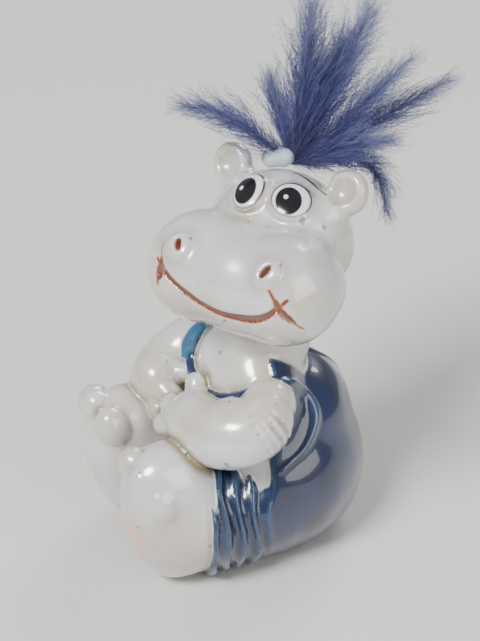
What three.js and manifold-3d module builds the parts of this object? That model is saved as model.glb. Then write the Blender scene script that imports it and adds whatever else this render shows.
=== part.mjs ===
// Seated hippo figurine: a slip-cast, glazed ceramic souvenir in dungarees, with a tuft of
// marabou plumes stuck to its crown by a drop of glue.
// Millimetres, +Z up. The origin is the middle of the flat underside, the belly faces -Y
// and the figure's left hand is on the +X side. The head has a frame of its own, in which
// the muzzle points along -Y.

import * as THREE from 'three';
import { mergeVertices } from 'three/addons/utils/BufferGeometryUtils.js';
import Module from 'manifold-3d';

const wasm = await Module();
wasm.setup();

// Driving dimensions, angles in degrees
const CLOTH_RELIEF = 0.6;

const HEAD_CENTRE = [0.2, 3.8, 51];
const HEAD_TURN = 33;
const HEAD_LIFT = 20;
const HEAD_TIP = -2;
const FACE_SHIFT = 0.9;
const NOSTRIL_SPACING = 7.6;
const MOUTH_HALF_WIDTH = 9.9;
const MOUTH_HEIGHT = -7.85;
const MOUTH_DEPTH = 3.6;
const MOUTH_SLOPE = -0.7;
const MOUTH_GROOVE_RADIUS = 0.5;
const EYE_SPACING = 3.1;
const EAR_SPACING = 10.3;
const EAR_RADIUS = 3.3;
const EAR_HEIGHT = 11.1;

const BIB_GAP_LEFT = -0.5;
const BIB_GAP_RIGHT = -5.5;
const BIB_GAP_FLOOR = 24;
const NECKLINE_HEIGHT = 34;
const NECKLINE_SPREAD = 5;
const LIP_RADIUS = 0.75;

const LEG_SPREAD = 8.9;
const LEG_RADIUS = 8.2;
const LEG_TALLNESS = 1.2;
const LEG_HEIGHT = 10.3;
const LEG_SLOPE = 3;
const CUFF_FRONT = -14.6;
const FOLD_COUNT = 4;
const FOLD_PITCH = 2.3;
const FOLD_DEPTH = 0.45;
const FOOT_SPREAD = 8.6;

const PLUME_FLATNESS = 0.6;
const PLUME_ROOT_RADIUS = 0.5;
const PLUME_START = 3.9;

// Colours of the glaze, the feather and the glue
const PEARL_WHITE = 0xc9cbc9;
const PLUME_INDIGO = 0x3c3f78;
const GLUE_GREY = 0xb4c2d0;

const SIDES = [-1, 1];
const degrees = THREE.MathUtils.degToRad;

// Solids and their joining

function solidOf(geometry) {
  const bare = geometry.clone();
  bare.deleteAttribute('normal');
  bare.deleteAttribute('uv');
  const merged = mergeVertices(bare, 1e-4);
  return new wasm.Manifold(new wasm.Mesh({
    numProp: 3,
    vertProperties: new Float32Array(merged.attributes.position.array),
    triVerts: new Uint32Array(merged.index.array),
  }));
}

function geometryOf(solid) {
  const mesh = solid.getMesh();
  const geometry = new THREE.BufferGeometry();
  geometry.setAttribute('position', new THREE.BufferAttribute(mesh.vertProperties, 3));
  geometry.setIndex(new THREE.BufferAttribute(mesh.triVerts, 1));
  geometry.computeVertexNormals();
  return geometry;
}

function joined(geometries) {
  return geometries.map(solidOf).reduce((whole, piece) => whole.add(piece));
}

// A unit sphere with its poles on Z, each vertex moved by a rule

function movedSphere(across, up, move) {
  const geometry = new THREE.SphereGeometry(1, across, up);
  geometry.rotateX(Math.PI / 2);
  const place = geometry.attributes.position;
  const vertex = new THREE.Vector3();
  for (let index = 0; index < place.count; index += 1) {
    vertex.fromBufferAttribute(place, index);
    move(vertex);
    place.setXYZ(index, vertex.x, vertex.y, vertex.z);
  }
  return geometry;
}

// An ellipsoid whose power above 2 fills it out towards a rounded block.
// lean tips its top towards -Y and roll tips its top towards +X.

function pillow(centre, radii, { power = 2, across = 12, up = 8, lean = 0, roll = 0 } = {}) {
  const geometry = movedSphere(across, up, (way) => {
    const fullness = Math.abs(way.x / radii[0]) ** power
      + Math.abs(way.y / radii[1]) ** power
      + Math.abs(way.z / radii[2]) ** power;
    way.multiplyScalar(fullness ** (-1 / power));
  });
  geometry.rotateY(degrees(roll));
  geometry.rotateX(degrees(lean));
  return geometry.translate(...centre);
}

// How far along a way a ray from the start leaves an ellipsoidal mass

function exitDistance(start, way, mass) {
  let wayWay = 0;
  let startWay = 0;
  let startStart = 0;
  for (const axis of [0, 1, 2]) {
    const from = (start[axis] - mass.at[axis]) / mass.radii[axis];
    const along = way.getComponent(axis) / mass.radii[axis];
    wayWay += along * along;
    startWay += from * along;
    startStart += from * from;
  }
  return (Math.sqrt(startWay ** 2 - wayWay * (startStart - 1)) - startWay) / wayWay;
}

// Several masses thumbed into one another: the reach of the blend along a way

function blendReach({ start, masses, softness }, way) {
  const total = masses.reduce(
    (sum, mass) => sum + Math.exp(exitDistance(start, way, mass) / softness),
    0,
  );
  return softness * Math.log(total);
}

function blended(form, { swell = 0, across = 26, up = 16 } = {}) {
  const geometry = movedSphere(across, up, (way) => {
    way.multiplyScalar(blendReach(form, way) + swell);
  });
  return geometry.translate(...form.start);
}

// The point of a blend's surface that lies behind a given point, seen from the blend's start

function onBlend(form, point, swell = 0) {
  const start = new THREE.Vector3(...form.start);
  const way = new THREE.Vector3(...point).sub(start).normalize();
  return start.addScaledVector(way, blendReach(form, way) + swell).toArray();
}

// A round-ended limb along a smooth curve through stations [x, y, z, radius].
// flatness below 1 thins it one way.

function limb(stations, { around = 12, along = 12, flatness = 1 } = {}) {
  const curve = new THREE.CatmullRomCurve3(
    stations.map(([x, y, z]) => new THREE.Vector3(x, y, z)),
    false,
    'centripetal',
  );
  const radiusCurve = new THREE.SplineCurve(
    stations.map((station, index) => new THREE.Vector2(index, station[3])),
  );
  const length = curve.getLength();
  const startCap = stations[0][3];
  const endCap = stations[stations.length - 1][3];
  const quarter = Math.PI / 2;
  const meridian = quarter * (startCap + endCap) + length;
  const frames = curve.computeFrenetFrames(along * 2, false);
  return movedSphere(around, along, (way) => {
    const travelled = (Math.acos(THREE.MathUtils.clamp(-way.z, -1, 1)) / Math.PI) * meridian;
    const distance = THREE.MathUtils.clamp(travelled - quarter * startCap, 0, length);
    const parameter = curve.getUtoTmapping(distance / length);
    let overhang = 0;
    let ringRadius = radiusCurve.getPoint(parameter).y;
    if (travelled < quarter * startCap) {
      overhang = -startCap * Math.cos(travelled / startCap);
      ringRadius = startCap * Math.sin(travelled / startCap);
    } else if (travelled > quarter * startCap + length) {
      const rest = (meridian - travelled) / endCap;
      overhang = endCap * Math.cos(rest);
      ringRadius = endCap * Math.sin(rest);
    }
    const frame = Math.round((distance / length) * along * 2);
    const turn = Math.atan2(way.y, way.x);
    const atPole = Math.abs(way.z) > 1 - 1e-9;
    const reach = atPole ? 0 : ringRadius;
    way.copy(curve.getPoint(parameter))
      .addScaledVector(curve.getTangent(parameter), overhang)
      .addScaledVector(frames.normals[frame], reach * Math.cos(turn))
      .addScaledVector(frames.binormals[frame], reach * flatness * Math.sin(turn));
  });
}

// A thin round cord of clay or a groove through points, all of one radius

function strand(points, radius, detail) {
  return limb(points.map((point) => [...point, radius]), detail);
}

// The body: a round belly, a back that slopes in, and shoulders hunched over the front

const BODY = {
  start: [0, 2, 21],
  masses: [
    { at: [0, 1, 12], radii: [16.6, 16.5, 15.7] },
    { at: [0, 2.6, 22.2], radii: [12.2, 12.3, 8.7] },
    { at: [0, -1.4, 28.6], radii: [12, 7.6, 9.6] },
  ],
  softness: 1.25,
};
const NECK = [[0.1, 0.8, 32, 7.6], [0.2, 3.2, 45, 7.6]];

// Dungarees: the swollen body, with a gap that leaves the middle of the chest bare

function chestKnife() {
  const middle = (BIB_GAP_LEFT + BIB_GAP_RIGHT) / 2;
  const halfWidth = (BIB_GAP_LEFT - BIB_GAP_RIGHT) / 2;
  const neckline = NECKLINE_HEIGHT - BIB_GAP_FLOOR;
  const top = 2 * neckline;
  const outline = new THREE.Shape();
  outline.moveTo(halfWidth, neckline);
  outline.lineTo(halfWidth + NECKLINE_SPREAD, top);
  outline.lineTo(-halfWidth - NECKLINE_SPREAD, top);
  outline.lineTo(-halfWidth, neckline);
  outline.absarc(0, halfWidth, halfWidth, Math.PI, 0, false);
  const geometry = new THREE.ExtrudeGeometry(outline, { depth: 30, bevelEnabled: false, curveSegments: 5 });
  return geometry.rotateX(Math.PI / 2).translate(middle, 0, BIB_GAP_FLOOR);
}

function dungarees() {
  return solidOf(blended(BODY, { swell: CLOTH_RELIEF })).subtract(solidOf(chestKnife()));
}

// The right shoulder strap, whose end shows between the arm and the chest

const RIGHT_STRAP = [
  [-8.6, -4.6, 33.4, 1.2],
  [-8.2, -6.1, 32.4, 1.6],
  [-7.9, -7.6, 30.9, 1.6],
  [-7.8, -8.6, 29.7, 1.1],
];

// The rolled lip of an armhole, from the chest over the shoulder and down behind the arm

function armholeLip(side) {
  const way = [
    [1.7, -9, 29], [5.6, -7.9, 29.8], [9.1, -4.7, 31.9], [10.1, 0.4, 32.8],
    [9.6, 4.9, 29.8], [11.4, 5.2, 26], [13.6, 2.7, 22.4], [14.4, -2, 19.5],
  ];
  const points = way.map(([x, y, z]) => onBlend(BODY, [side * x, y, z], CLOTH_RELIEF));
  return strand(points, LIP_RADIUS, { around: 6, along: 14 });
}

// Arms folded over the belly, the right hand laid over the left

const RIGHT_ARM = [
  [-9.4, -2.8, 31.6, 4.4],
  [-11.5, -7, 28.9, 4.8],
  [-11.2, -11, 26.2, 5],
  [-9.2, -12.9, 25.4, 4.6],
];
const LEFT_ARM = [
  [11.4, -2.4, 30.4, 4.2],
  [13.4, -5, 29.2, 5.1],
  [12.9, -8, 27.9, 5.7],
  [10.2, -11, 26.9, 5.4],
  [6.4, -13, 27.1, 4.4],
];
const PALMS = [
  { at: [-8.4, -13.8, 25.6], radii: [4.2, 3.9, 4.6] },
  { at: [4.2, -12.8, 26.8], radii: [3.9, 3.6, 4] },
];
const FINGERS = [
  [[-7.4, -14.2, 26.9, 2.4], [-3.6, -13, 25.6, 2.1]],
  [[-8.4, -15.1, 24.9, 2.5], [-4.8, -14.8, 23, 2.1]],
  [[-9.2, -15.6, 23.2, 2.5], [-6.6, -16, 20.8, 2.1]],
  [[-8.4, -12, 27.8, 2.1], [-5, -9.4, 28.1, 1.8]],
  [[3, -11.4, 27.6, 2.2], [0.9, -10.4, 30.2, 1.8]],
  [[3.2, -13.2, 26.4, 2.4], [-0.4, -14.2, 26.3, 1.9]],
  [[4.4, -14, 24.6, 2.4], [0.8, -16, 23.9, 2]],
];

// Trouser legs with scrunched folds that end in a cuff, and the bare feet beyond

function trouserLeg(side) {
  const profile = [new THREE.Vector2(0, 0)];
  for (let step = 0; step <= 2 * FOLD_COUNT; step += 1) {
    const wave = step % 2 === 0 ? 1 : -1;
    profile.push(new THREE.Vector2(LEG_RADIUS + FOLD_DEPTH * wave, (step * FOLD_PITCH) / 2));
  }
  profile.push(new THREE.Vector2(0.9 * LEG_RADIUS, 14));
  profile.push(new THREE.Vector2(0.5 * LEG_RADIUS, 19));
  profile.push(new THREE.Vector2(0, 20));
  return new THREE.LatheGeometry(profile, 18)
    .scale(1, 1, LEG_TALLNESS)
    .rotateX(degrees(-LEG_SLOPE))
    .translate(side * LEG_SPREAD, CUFF_FRONT, LEG_HEIGHT);
}

const RIGHT_FOOT = {
  side: -1,
  lean: 12,
  toes: [[-5, -23, 22.2], [-9.6, -24, 23], [-13.2, -23.6, 21.6]],
};
const LEFT_FOOT = {
  side: 1,
  lean: 9,
  toes: [[6.2, -23.6, 21.8], [10, -23.6, 20.8], [12.9, -22, 18.8]],
};

function footGeometries({ side, lean, toes }) {
  return [
    pillow(
      [side * LEG_SPREAD, CUFF_FRONT, LEG_HEIGHT + 0.6],
      [LEG_RADIUS - 0.9, 8, LEG_TALLNESS * LEG_RADIUS - 1.2],
      { across: 16, up: 10 },
    ),
    pillow([side * FOOT_SPREAD, -18.4, 13.1], [6.9, 7.9, 12.7], { power: 2.3, across: 16, up: 11, lean }),
    ...toes.map((toe) => pillow(toe, [2.6, 2.7, 3.6], { across: 9, up: 6, lean })),
  ];
}

// The head, in its own frame

const CRANIUM = { at: [0, 1, 1.8], radii: [12, 9.9, 10.4] };
const MUZZLE = {
  start: [0, -7.5, -3.5],
  masses: [
    { at: [0, -6.6, -3.5], radii: [15, 10.4, 9] },
    { at: [-7.6, -7.9, -3.5], radii: [8.3, 8.9, 8.6] },
    { at: [7.6, -7.9, -3.5], radii: [8.0, 8.9, 8.6] },
  ],
  softness: 0.8,
};

function earPieces(side) {
  return [
    pillow([side * EAR_SPACING, 1.4, EAR_HEIGHT], [EAR_RADIUS, 1.9, EAR_RADIUS], { power: 2.3 }),
    limb([[side * 8, 0.9, 7.6, 2.8], [side * 9.7, 1.3, 9.6, 2.3]], { around: 9, along: 5 }),
  ];
}

// A smiling mouth with a dimple across each of its ends

function mouthGrooves() {
  const smile = [];
  const steps = 6;
  for (let step = -steps; step <= steps; step += 1) {
    const share = step / steps;
    const height = MOUTH_HEIGHT + MOUTH_DEPTH * share ** 2 + MOUTH_SLOPE * share;
    smile.push(onBlend(MUZZLE, [FACE_SHIFT + MOUTH_HALF_WIDTH * share, -16, height]));
  }
  const dimples = [
    [[-10.1, -16.2, -1.4], [-10, -16.3, -3], [-9.9, -16.3, -4.6]],
    [[10.3, -16, -3.6], [11.7, -15.2, -5.2], [12.6, -13.9, -6.6]],
  ];
  return [
    strand(smile, MOUTH_GROOVE_RADIUS, { around: 5, along: 16 }),
    ...dimples.map((points) => strand(
      points.map((point) => onBlend(MUZZLE, point)),
      MOUTH_GROOVE_RADIUS,
      { around: 5, along: 5 },
    )),
  ];
}

function head() {
  const raised = [
    pillow(CRANIUM.at, CRANIUM.radii, { across: 24, up: 16 }),
    blended(MUZZLE),
  ];
  const sunk = mouthGrooves();
  for (const side of SIDES) {
    const nostril = onBlend(MUZZLE, [side * NOSTRIL_SPACING, -16, 0.3]);
    raised.push(pillow(nostril, [2.2, 0.8, 2.2], { lean: -28 }));
    sunk.push(pillow(nostril, [0.55, 1.4, 1.2], { across: 8, up: 6, lean: -28, roll: side * 25 }));
    raised.push(pillow(
      [FACE_SHIFT + side * EYE_SPACING, -4.9, 8.1],
      [3, 1.5, 3.2],
      { lean: -45 },
    ));
    raised.push(...earPieces(side));
    sunk.push(pillow([side * EAR_SPACING, -0.6, EAR_HEIGHT + 0.2], [2.1, 1.3, 2.1], { across: 10, up: 6 }));
  }
  const place = new THREE.Matrix4()
    .makeRotationFromEuler(new THREE.Euler(degrees(-HEAD_LIFT), degrees(HEAD_TIP), degrees(HEAD_TURN), 'ZXY'))
    .setPosition(...HEAD_CENTRE);
  const placed = (geometry) => geometry.applyMatrix4(place);
  return joined(raised.map(placed)).subtract(joined(sunk.map(placed)));
}

function figure() {
  const pieces = [
    blended(BODY),
    limb(NECK, { around: 16, along: 6 }),
    limb(RIGHT_STRAP, { around: 6, along: 6 }),
    limb(RIGHT_ARM, { around: 12, along: 11 }),
    limb(LEFT_ARM, { around: 13, along: 12 }),
    ...PALMS.map((palm) => pillow(palm.at, palm.radii, { across: 10, up: 7 })),
    ...FINGERS.map((finger) => limb(finger, { around: 7, along: 5 })),
    ...[RIGHT_FOOT, LEFT_FOOT].flatMap(footGeometries),
    ...SIDES.map(armholeLip),
    ...SIDES.map(trouserLeg),
  ];
  const whole = joined(pieces).add(dungarees()).add(head());
  const ground = solidOf(new THREE.BoxGeometry(100, 100, 20).translate(0, 0, -10));
  return geometryOf(whole.subtract(ground));
}

// The tuft: plumes that fan out from one root on the crown, each over a middle to its tip

const TUFT_ROOT = [-2.8, 8, 63.6];
const GLUE = { at: [-4, 6.5, 64], radii: [2.1, 2.5, 1.35] };
const PLUMES = {
  plume_crown: { middle: [-4.8, 11.2, 75.3], tip: [-5.8, 12.9, 87.1], halfWidth: 2.6 },
  plume_crown_back: { middle: [-3.7, 16, 74.6], tip: [-5.4, 22.4, 84.8], halfWidth: 2.6 },
  plume_between: { middle: [-7.5, 15.3, 70.7], tip: [-10.4, 19.9, 77.7], halfWidth: 2.4 },
  plume_back_high: { middle: [0, 18.6, 71.7], tip: [1.5, 26, 78.8], halfWidth: 2.2 },
  plume_back: { middle: [-1.8, 21.6, 67.8], tip: [0.5, 33.1, 73.4], halfWidth: 2.2 },
  plume_left: { middle: [2.8, 14.4, 67.4], tip: [7.4, 20.2, 69], halfWidth: 2 },
  plume_forward: { middle: [-9.3, 0.6, 70], tip: [-12.1, -5.9, 71.9], halfWidth: 2.2 },
  plume_right: { middle: [-9.6, 9.6, 67.8], tip: [-13.4, 9.6, 72.4], halfWidth: 2 },
  plume_nape: { middle: [-1.5, 21, 60.6], tip: [2.4, 22.3, 53.6], halfWidth: 2.2 },
};
const PLUME_WIDTHS = [0, 0.78, 1, 0.8, 0];

function plume({ middle, tip, halfWidth }) {
  const spine = new THREE.CatmullRomCurve3(
    [TUFT_ROOT, middle, tip].map((point) => new THREE.Vector3(...point)),
    false,
    'centripetal',
  );
  const start = PLUME_START / spine.getLength();
  const stations = PLUME_WIDTHS.map((width, index) => {
    const share = start + ((1 - start) * index) / (PLUME_WIDTHS.length - 1);
    return [...spine.getPointAt(share).toArray(), Math.max(PLUME_ROOT_RADIUS, width * halfWidth)];
  });
  return limb(stations, { around: 6, along: 8, flatness: PLUME_FLATNESS });
}

const part = new THREE.Group();

function addMesh(name, geometry, colour, roughness) {
  const material = new THREE.MeshStandardMaterial({ color: colour, roughness, metalness: 0 });
  const mesh = new THREE.Mesh(geometry, material);
  mesh.name = name;
  part.add(mesh);
}

addMesh('hippo_figure', figure(), PEARL_WHITE, 0.12);
for (const [name, shape] of Object.entries(PLUMES)) {
  addMesh(name, plume(shape), PLUME_INDIGO, 0.8);
}
addMesh('glue_drop', pillow(GLUE.at, GLUE.radii, { across: 10, up: 6 }), GLUE_GREY, 0.2);

export default part;
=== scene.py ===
"""Seated hippo figurine: pearl and navy glazed ceramic with a tuft of marabou plumes.

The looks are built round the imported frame. Shapes are worked out in millimetres in the frame's
own axes: +Z up, the belly faces -Y, the figure's left hand is on the +X side. Meshes are made in
metres. The head has axes of its own, in which the muzzle points along -Y.
"""

from __future__ import annotations

import json
import logging
import math
from abc import ABC, abstractmethod
from dataclasses import dataclass, field
from enum import Enum
from typing import Sequence

import bpy
import numpy as np
from mathutils import Matrix, Vector


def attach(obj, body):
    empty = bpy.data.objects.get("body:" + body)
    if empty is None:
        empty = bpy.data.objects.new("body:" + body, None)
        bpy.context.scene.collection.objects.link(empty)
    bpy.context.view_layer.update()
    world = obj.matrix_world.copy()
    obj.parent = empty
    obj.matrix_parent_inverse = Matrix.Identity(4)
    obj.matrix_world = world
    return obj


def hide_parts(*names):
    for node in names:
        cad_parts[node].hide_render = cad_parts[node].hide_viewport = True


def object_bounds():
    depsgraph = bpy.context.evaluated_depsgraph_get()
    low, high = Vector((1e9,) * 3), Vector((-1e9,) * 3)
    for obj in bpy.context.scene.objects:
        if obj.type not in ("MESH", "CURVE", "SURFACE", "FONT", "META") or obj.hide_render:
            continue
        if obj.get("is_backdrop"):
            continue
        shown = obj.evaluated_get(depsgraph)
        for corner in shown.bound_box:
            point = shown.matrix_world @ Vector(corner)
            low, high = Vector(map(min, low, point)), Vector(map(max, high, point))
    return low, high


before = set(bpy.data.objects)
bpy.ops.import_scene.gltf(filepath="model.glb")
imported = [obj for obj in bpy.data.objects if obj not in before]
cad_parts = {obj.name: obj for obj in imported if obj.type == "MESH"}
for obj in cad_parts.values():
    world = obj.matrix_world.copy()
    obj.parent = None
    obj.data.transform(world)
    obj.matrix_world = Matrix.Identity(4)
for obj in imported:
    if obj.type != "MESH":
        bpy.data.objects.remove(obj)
CAD_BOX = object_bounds()

LOG = logging.getLogger("hippo")
MILLIMETRE = 0.001
BODY = "root"

Triple = tuple[float, float, float]
Station = tuple[float, float, float, float]
Colour = tuple[float, float, float]


# Clay: closed forms as fields, below nought inside, in millimetres


def smooth_min(first: np.ndarray, second: np.ndarray, radius: float) -> np.ndarray:
    """Joins two fields with a fillet.

    Args:
        first: One field's values.
        second: The other field's values.
        radius: How far from the seam the fillet reaches.

    Returns:
        The field of the two forms together.
    """
    overlap = np.maximum(radius - np.abs(first - second), 0.0) / max(radius, 1e-6)
    return np.minimum(first, second) - overlap**2 * radius * 0.25


def turn_about(axis: int, angle: float) -> np.ndarray:
    """Gives a turn about one axis.

    Args:
        axis: 0, 1 or 2 for X, Y or Z.
        angle: The angle in degrees.

    Returns:
        The 3 by 3 rotation matrix.
    """
    turn = Matrix.Rotation(math.radians(angle), 3, "XYZ"[axis])
    return np.array(turn, float)


def through(points: np.ndarray, count: int) -> np.ndarray:
    """Samples one smooth curve through some points.

    Args:
        points: The points, a row each, in any number of dimensions.
        count: How many samples to take, evenly spread over the chords.

    Returns:
        The samples, a row each.
    """
    chords = np.linalg.norm(np.diff(points[:, :3], axis=0), axis=1) ** 0.5
    knots = np.concatenate([[0.0], np.cumsum(chords)])
    slopes = np.gradient(points, knots, axis=0, edge_order=1)
    at = np.linspace(0.0, knots[-1], count)
    piece = np.clip(np.searchsorted(knots, at, side="right") - 1, 0, len(points) - 2)
    width = knots[piece + 1] - knots[piece]
    share = ((at - knots[piece]) / width)[:, None]
    wide = width[:, None]
    return hermite(points[piece], points[piece + 1], slopes[piece] * wide, slopes[piece + 1] * wide, share)


def hermite(
    start: np.ndarray, end: np.ndarray, start_slope: np.ndarray, end_slope: np.ndarray, share: np.ndarray
) -> np.ndarray:
    """Evaluates a cubic between two points with given slopes.

    Args:
        start: The point at share 0.
        end: The point at share 1.
        start_slope: The slope at share 0.
        end_slope: The slope at share 1.
        share: How far along, from 0 to 1.

    Returns:
        The point on the cubic.
    """
    square, cube = share**2, share**3
    return (
        (2 * cube - 3 * square + 1) * start
        + (cube - 2 * square + share) * start_slope
        + (3 * square - 2 * cube) * end
        + (cube - square) * end_slope
    )


class Form(ABC):
    """A closed form whose field is below nought inside."""

    @abstractmethod
    def reach(self) -> tuple[np.ndarray, np.ndarray]:
        """Returns the lowest and highest corner of the form's box."""

    @abstractmethod
    def depth(self, points: np.ndarray) -> np.ndarray:
        """Returns the field at each point."""

    def slope(self, points: np.ndarray, step: float = 0.04) -> np.ndarray:
        """Works out the gradient of the field.

        Args:
            points: Where to take it.
            step: Half the distance between the two samples on each axis.

        Returns:
            The gradient at each point.
        """
        parts = []
        for axis in range(3):
            shift = np.zeros(3)
            shift[axis] = step
            parts.append((self.depth(points + shift) - self.depth(points - shift)) / (2 * step))
        return np.stack(parts, axis=-1)

    def settle(self, points: np.ndarray, rounds: int = 2) -> np.ndarray:
        """Moves points onto the form's surface.

        Args:
            points: Points close to the surface.
            rounds: How many Newton steps to take.

        Returns:
            The moved points.
        """
        for _ in range(rounds):
            slope = self.slope(points)
            steep = np.maximum((slope**2).sum(axis=1), 0.05)
            step = self.depth(points) / steep
            points = points - np.clip(step, -0.6, 0.6)[:, None] * slope
        return points


@dataclass
class Pillow(Form):
    """An ellipsoid whose power above 2 fills it out towards a rounded block.

    lean tips its top towards -Y, and roll tips its top towards +X.
    """

    centre: Triple
    radii: Triple
    power: float = 2.0
    lean: float = 0.0
    roll: float = 0.0
    turn: np.ndarray | None = None

    def __post_init__(self) -> None:
        """Works out the turn from lean and roll where none is given."""
        if self.turn is None:
            self.turn = turn_about(0, self.lean) @ turn_about(1, self.roll)

    def reach(self) -> tuple[np.ndarray, np.ndarray]:
        """Returns the lowest and highest corner of the form's box."""
        half = np.abs(self.turn) @ np.array(self.radii)
        return np.array(self.centre) - half, np.array(self.centre) + half

    def depth(self, points: np.ndarray) -> np.ndarray:
        """Returns the field at each point."""
        radii = np.array(self.radii)
        share = np.maximum(np.abs((points - self.centre) @ self.turn) / radii, 1e-6)
        fullness = (share**self.power).sum(axis=1) ** (1 / self.power)
        steep = (share / fullness[:, None]) ** (self.power - 1) / radii
        return (fullness - 1) / np.linalg.norm(steep, axis=1)


@dataclass
class Blend(Form):
    """Several ellipsoidal masses thumbed into one another, seen from a start inside them."""

    start: Triple
    masses: tuple[tuple[Triple, Triple], ...]
    softness: float
    swell: float = 0.0

    def reach(self) -> tuple[np.ndarray, np.ndarray]:
        """Returns the lowest and highest corner of the form's box."""
        spare = self.swell + self.softness * 1.2
        low = np.min([np.array(at) - radii for at, radii in self.masses], axis=0)
        high = np.max([np.array(at) + radii for at, radii in self.masses], axis=0)
        return low - spare, high + spare

    def depth(self, points: np.ndarray) -> np.ndarray:
        """Returns the field at each point."""
        way = points - np.array(self.start)
        far = np.maximum(np.linalg.norm(way, axis=1), 1e-6)
        way = way / far[:, None]
        total = np.zeros(len(points))
        for at, radii in self.masses:
            origin = (np.array(self.start) - np.array(at)) / np.array(radii)
            along = way / np.array(radii)
            square = (along**2).sum(axis=1)
            half = along @ origin
            root = np.sqrt(np.maximum(half**2 - square * (origin @ origin - 1), 0.0))
            total += np.exp((root - half) / square / self.softness)
        return far - self.softness * np.log(total) - self.swell


@dataclass
class Limb(Form):
    """A round-ended limb along a smooth curve through stations of place and radius."""

    stations: Sequence[Station]
    count: int = 20
    line: np.ndarray = field(init=False)
    lean: np.ndarray = field(init=False)

    def __post_init__(self) -> None:
        """Samples the curve and its slope."""
        self.line = through(np.array(self.stations, float), self.count)
        self.lean = np.gradient(self.line, axis=0, edge_order=2)

    def reach(self) -> tuple[np.ndarray, np.ndarray]:
        """Returns the lowest and highest corner of the form's box."""
        thick = self.line[:, 3:]
        return (self.line[:, :3] - thick).min(axis=0), (self.line[:, :3] + thick).max(axis=0)

    def along(self, points: np.ndarray) -> np.ndarray:
        """Finds where on the curve each point's nearest place is.

        Args:
            points: The points, a row each.

        Returns:
            The place as a sample number with a fraction.
        """
        gaps = ((points[:, None, :] - self.line[None, :, :3]) ** 2).sum(axis=2)
        place = gaps.argmin(axis=1).astype(float)
        for _ in range(3):
            on, slope = self.at(place)
            ahead = ((points - on[:, :3]) * slope[:, :3]).sum(axis=1)
            place = np.clip(place + ahead / (slope[:, :3] ** 2).sum(axis=1), 0.0, self.count - 1.0)
        return place

    def at(self, place: np.ndarray) -> tuple[np.ndarray, np.ndarray]:
        """Gives the curve's own point and slope.

        Args:
            place: Sample numbers with fractions.

        Returns:
            The points with their radii, and the slopes.
        """
        low = np.clip(place.astype(int), 0, self.count - 2)
        share = (place - low)[:, None]
        on = hermite(self.line[low], self.line[low + 1], self.lean[low], self.lean[low + 1], share)
        return on, self.lean[low] * (1 - share) + self.lean[low + 1] * share

    def depth(self, points: np.ndarray) -> np.ndarray:
        """Returns the field at each point."""
        on, _ = self.at(self.along(points))
        return np.linalg.norm(points - on[:, :3], axis=1) - on[:, 3]


class Way(Enum):
    """How a form goes into clay."""

    JOIN = 1
    CARVE = 2


@dataclass
class Clay(Form):
    """Forms joined to and carved out of one another in order, each with its own fillet."""

    steps: list[tuple[Form, Way, float]] = field(default_factory=list)
    far: float = 40.0

    def join(self, form: Form, fillet: float = 0.3) -> "Clay":
        """Adds a form with a fillet, and returns the clay."""
        self.steps.append((form, Way.JOIN, fillet))
        return self

    def carve(self, form: Form, fillet: float = 0.2) -> "Clay":
        """Takes a form out with a rounded edge, and returns the clay."""
        self.steps.append((form, Way.CARVE, fillet))
        return self

    def reach(self) -> tuple[np.ndarray, np.ndarray]:
        """Returns the lowest and highest corner of the form's box."""
        boxes = [form.reach() for form, way, _ in self.steps if way is Way.JOIN]
        return np.min([low for low, _ in boxes], axis=0), np.max([high for _, high in boxes], axis=0)

    def depth(self, points: np.ndarray) -> np.ndarray:
        """Returns the field at each point."""
        value = np.full(len(points), self.far)
        for form, way, fillet in self.steps:
            low, high = form.reach()
            margin = fillet + 2.5
            near = ((points > low - margin) & (points < high + margin)).all(axis=1)
            if not near.any():
                continue
            other = form.depth(points[near])
            if way is Way.JOIN:
                value[near] = smooth_min(value[near], other, fillet)
            else:
                value[near] = -smooth_min(-value[near], other, fillet)
        return value


@dataclass
class Placed(Form):
    """A form that is built in axes of its own and then turned and moved."""

    form: Form
    turn: np.ndarray
    centre: Triple

    def reach(self) -> tuple[np.ndarray, np.ndarray]:
        """Returns the lowest and highest corner of the form's box."""
        low, high = self.form.reach()
        middle = self.turn @ ((low + high) / 2) + self.centre
        half = np.abs(self.turn) @ ((high - low) / 2)
        return middle - half, middle + half

    def inward(self, points: np.ndarray) -> np.ndarray:
        """Returns points of the frame in the form's own axes."""
        return (points - np.array(self.centre)) @ self.turn

    def depth(self, points: np.ndarray) -> np.ndarray:
        """Returns the field at each point."""
        return self.form.depth(self.inward(points))


@dataclass
class Unevenness:
    """Slow swells over a hand-finished casting, as a sum of sine waves."""

    height: float = 0.035
    shortest: float = 6.0
    longest: float = 16.0
    waves: int = 9
    seed: int = 5

    def value(self, points: np.ndarray) -> np.ndarray:
        """Returns the height of the swell at each point."""
        draw = np.random.default_rng(self.seed)
        total = np.zeros(len(points))
        for _ in range(self.waves):
            way = draw.normal(size=3)
            way *= 2 * math.pi / draw.uniform(self.shortest, self.longest) / np.linalg.norm(way)
            total += self.height * np.sin(points @ way + draw.uniform(0, 2 * math.pi))
        return total


# The garment


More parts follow.
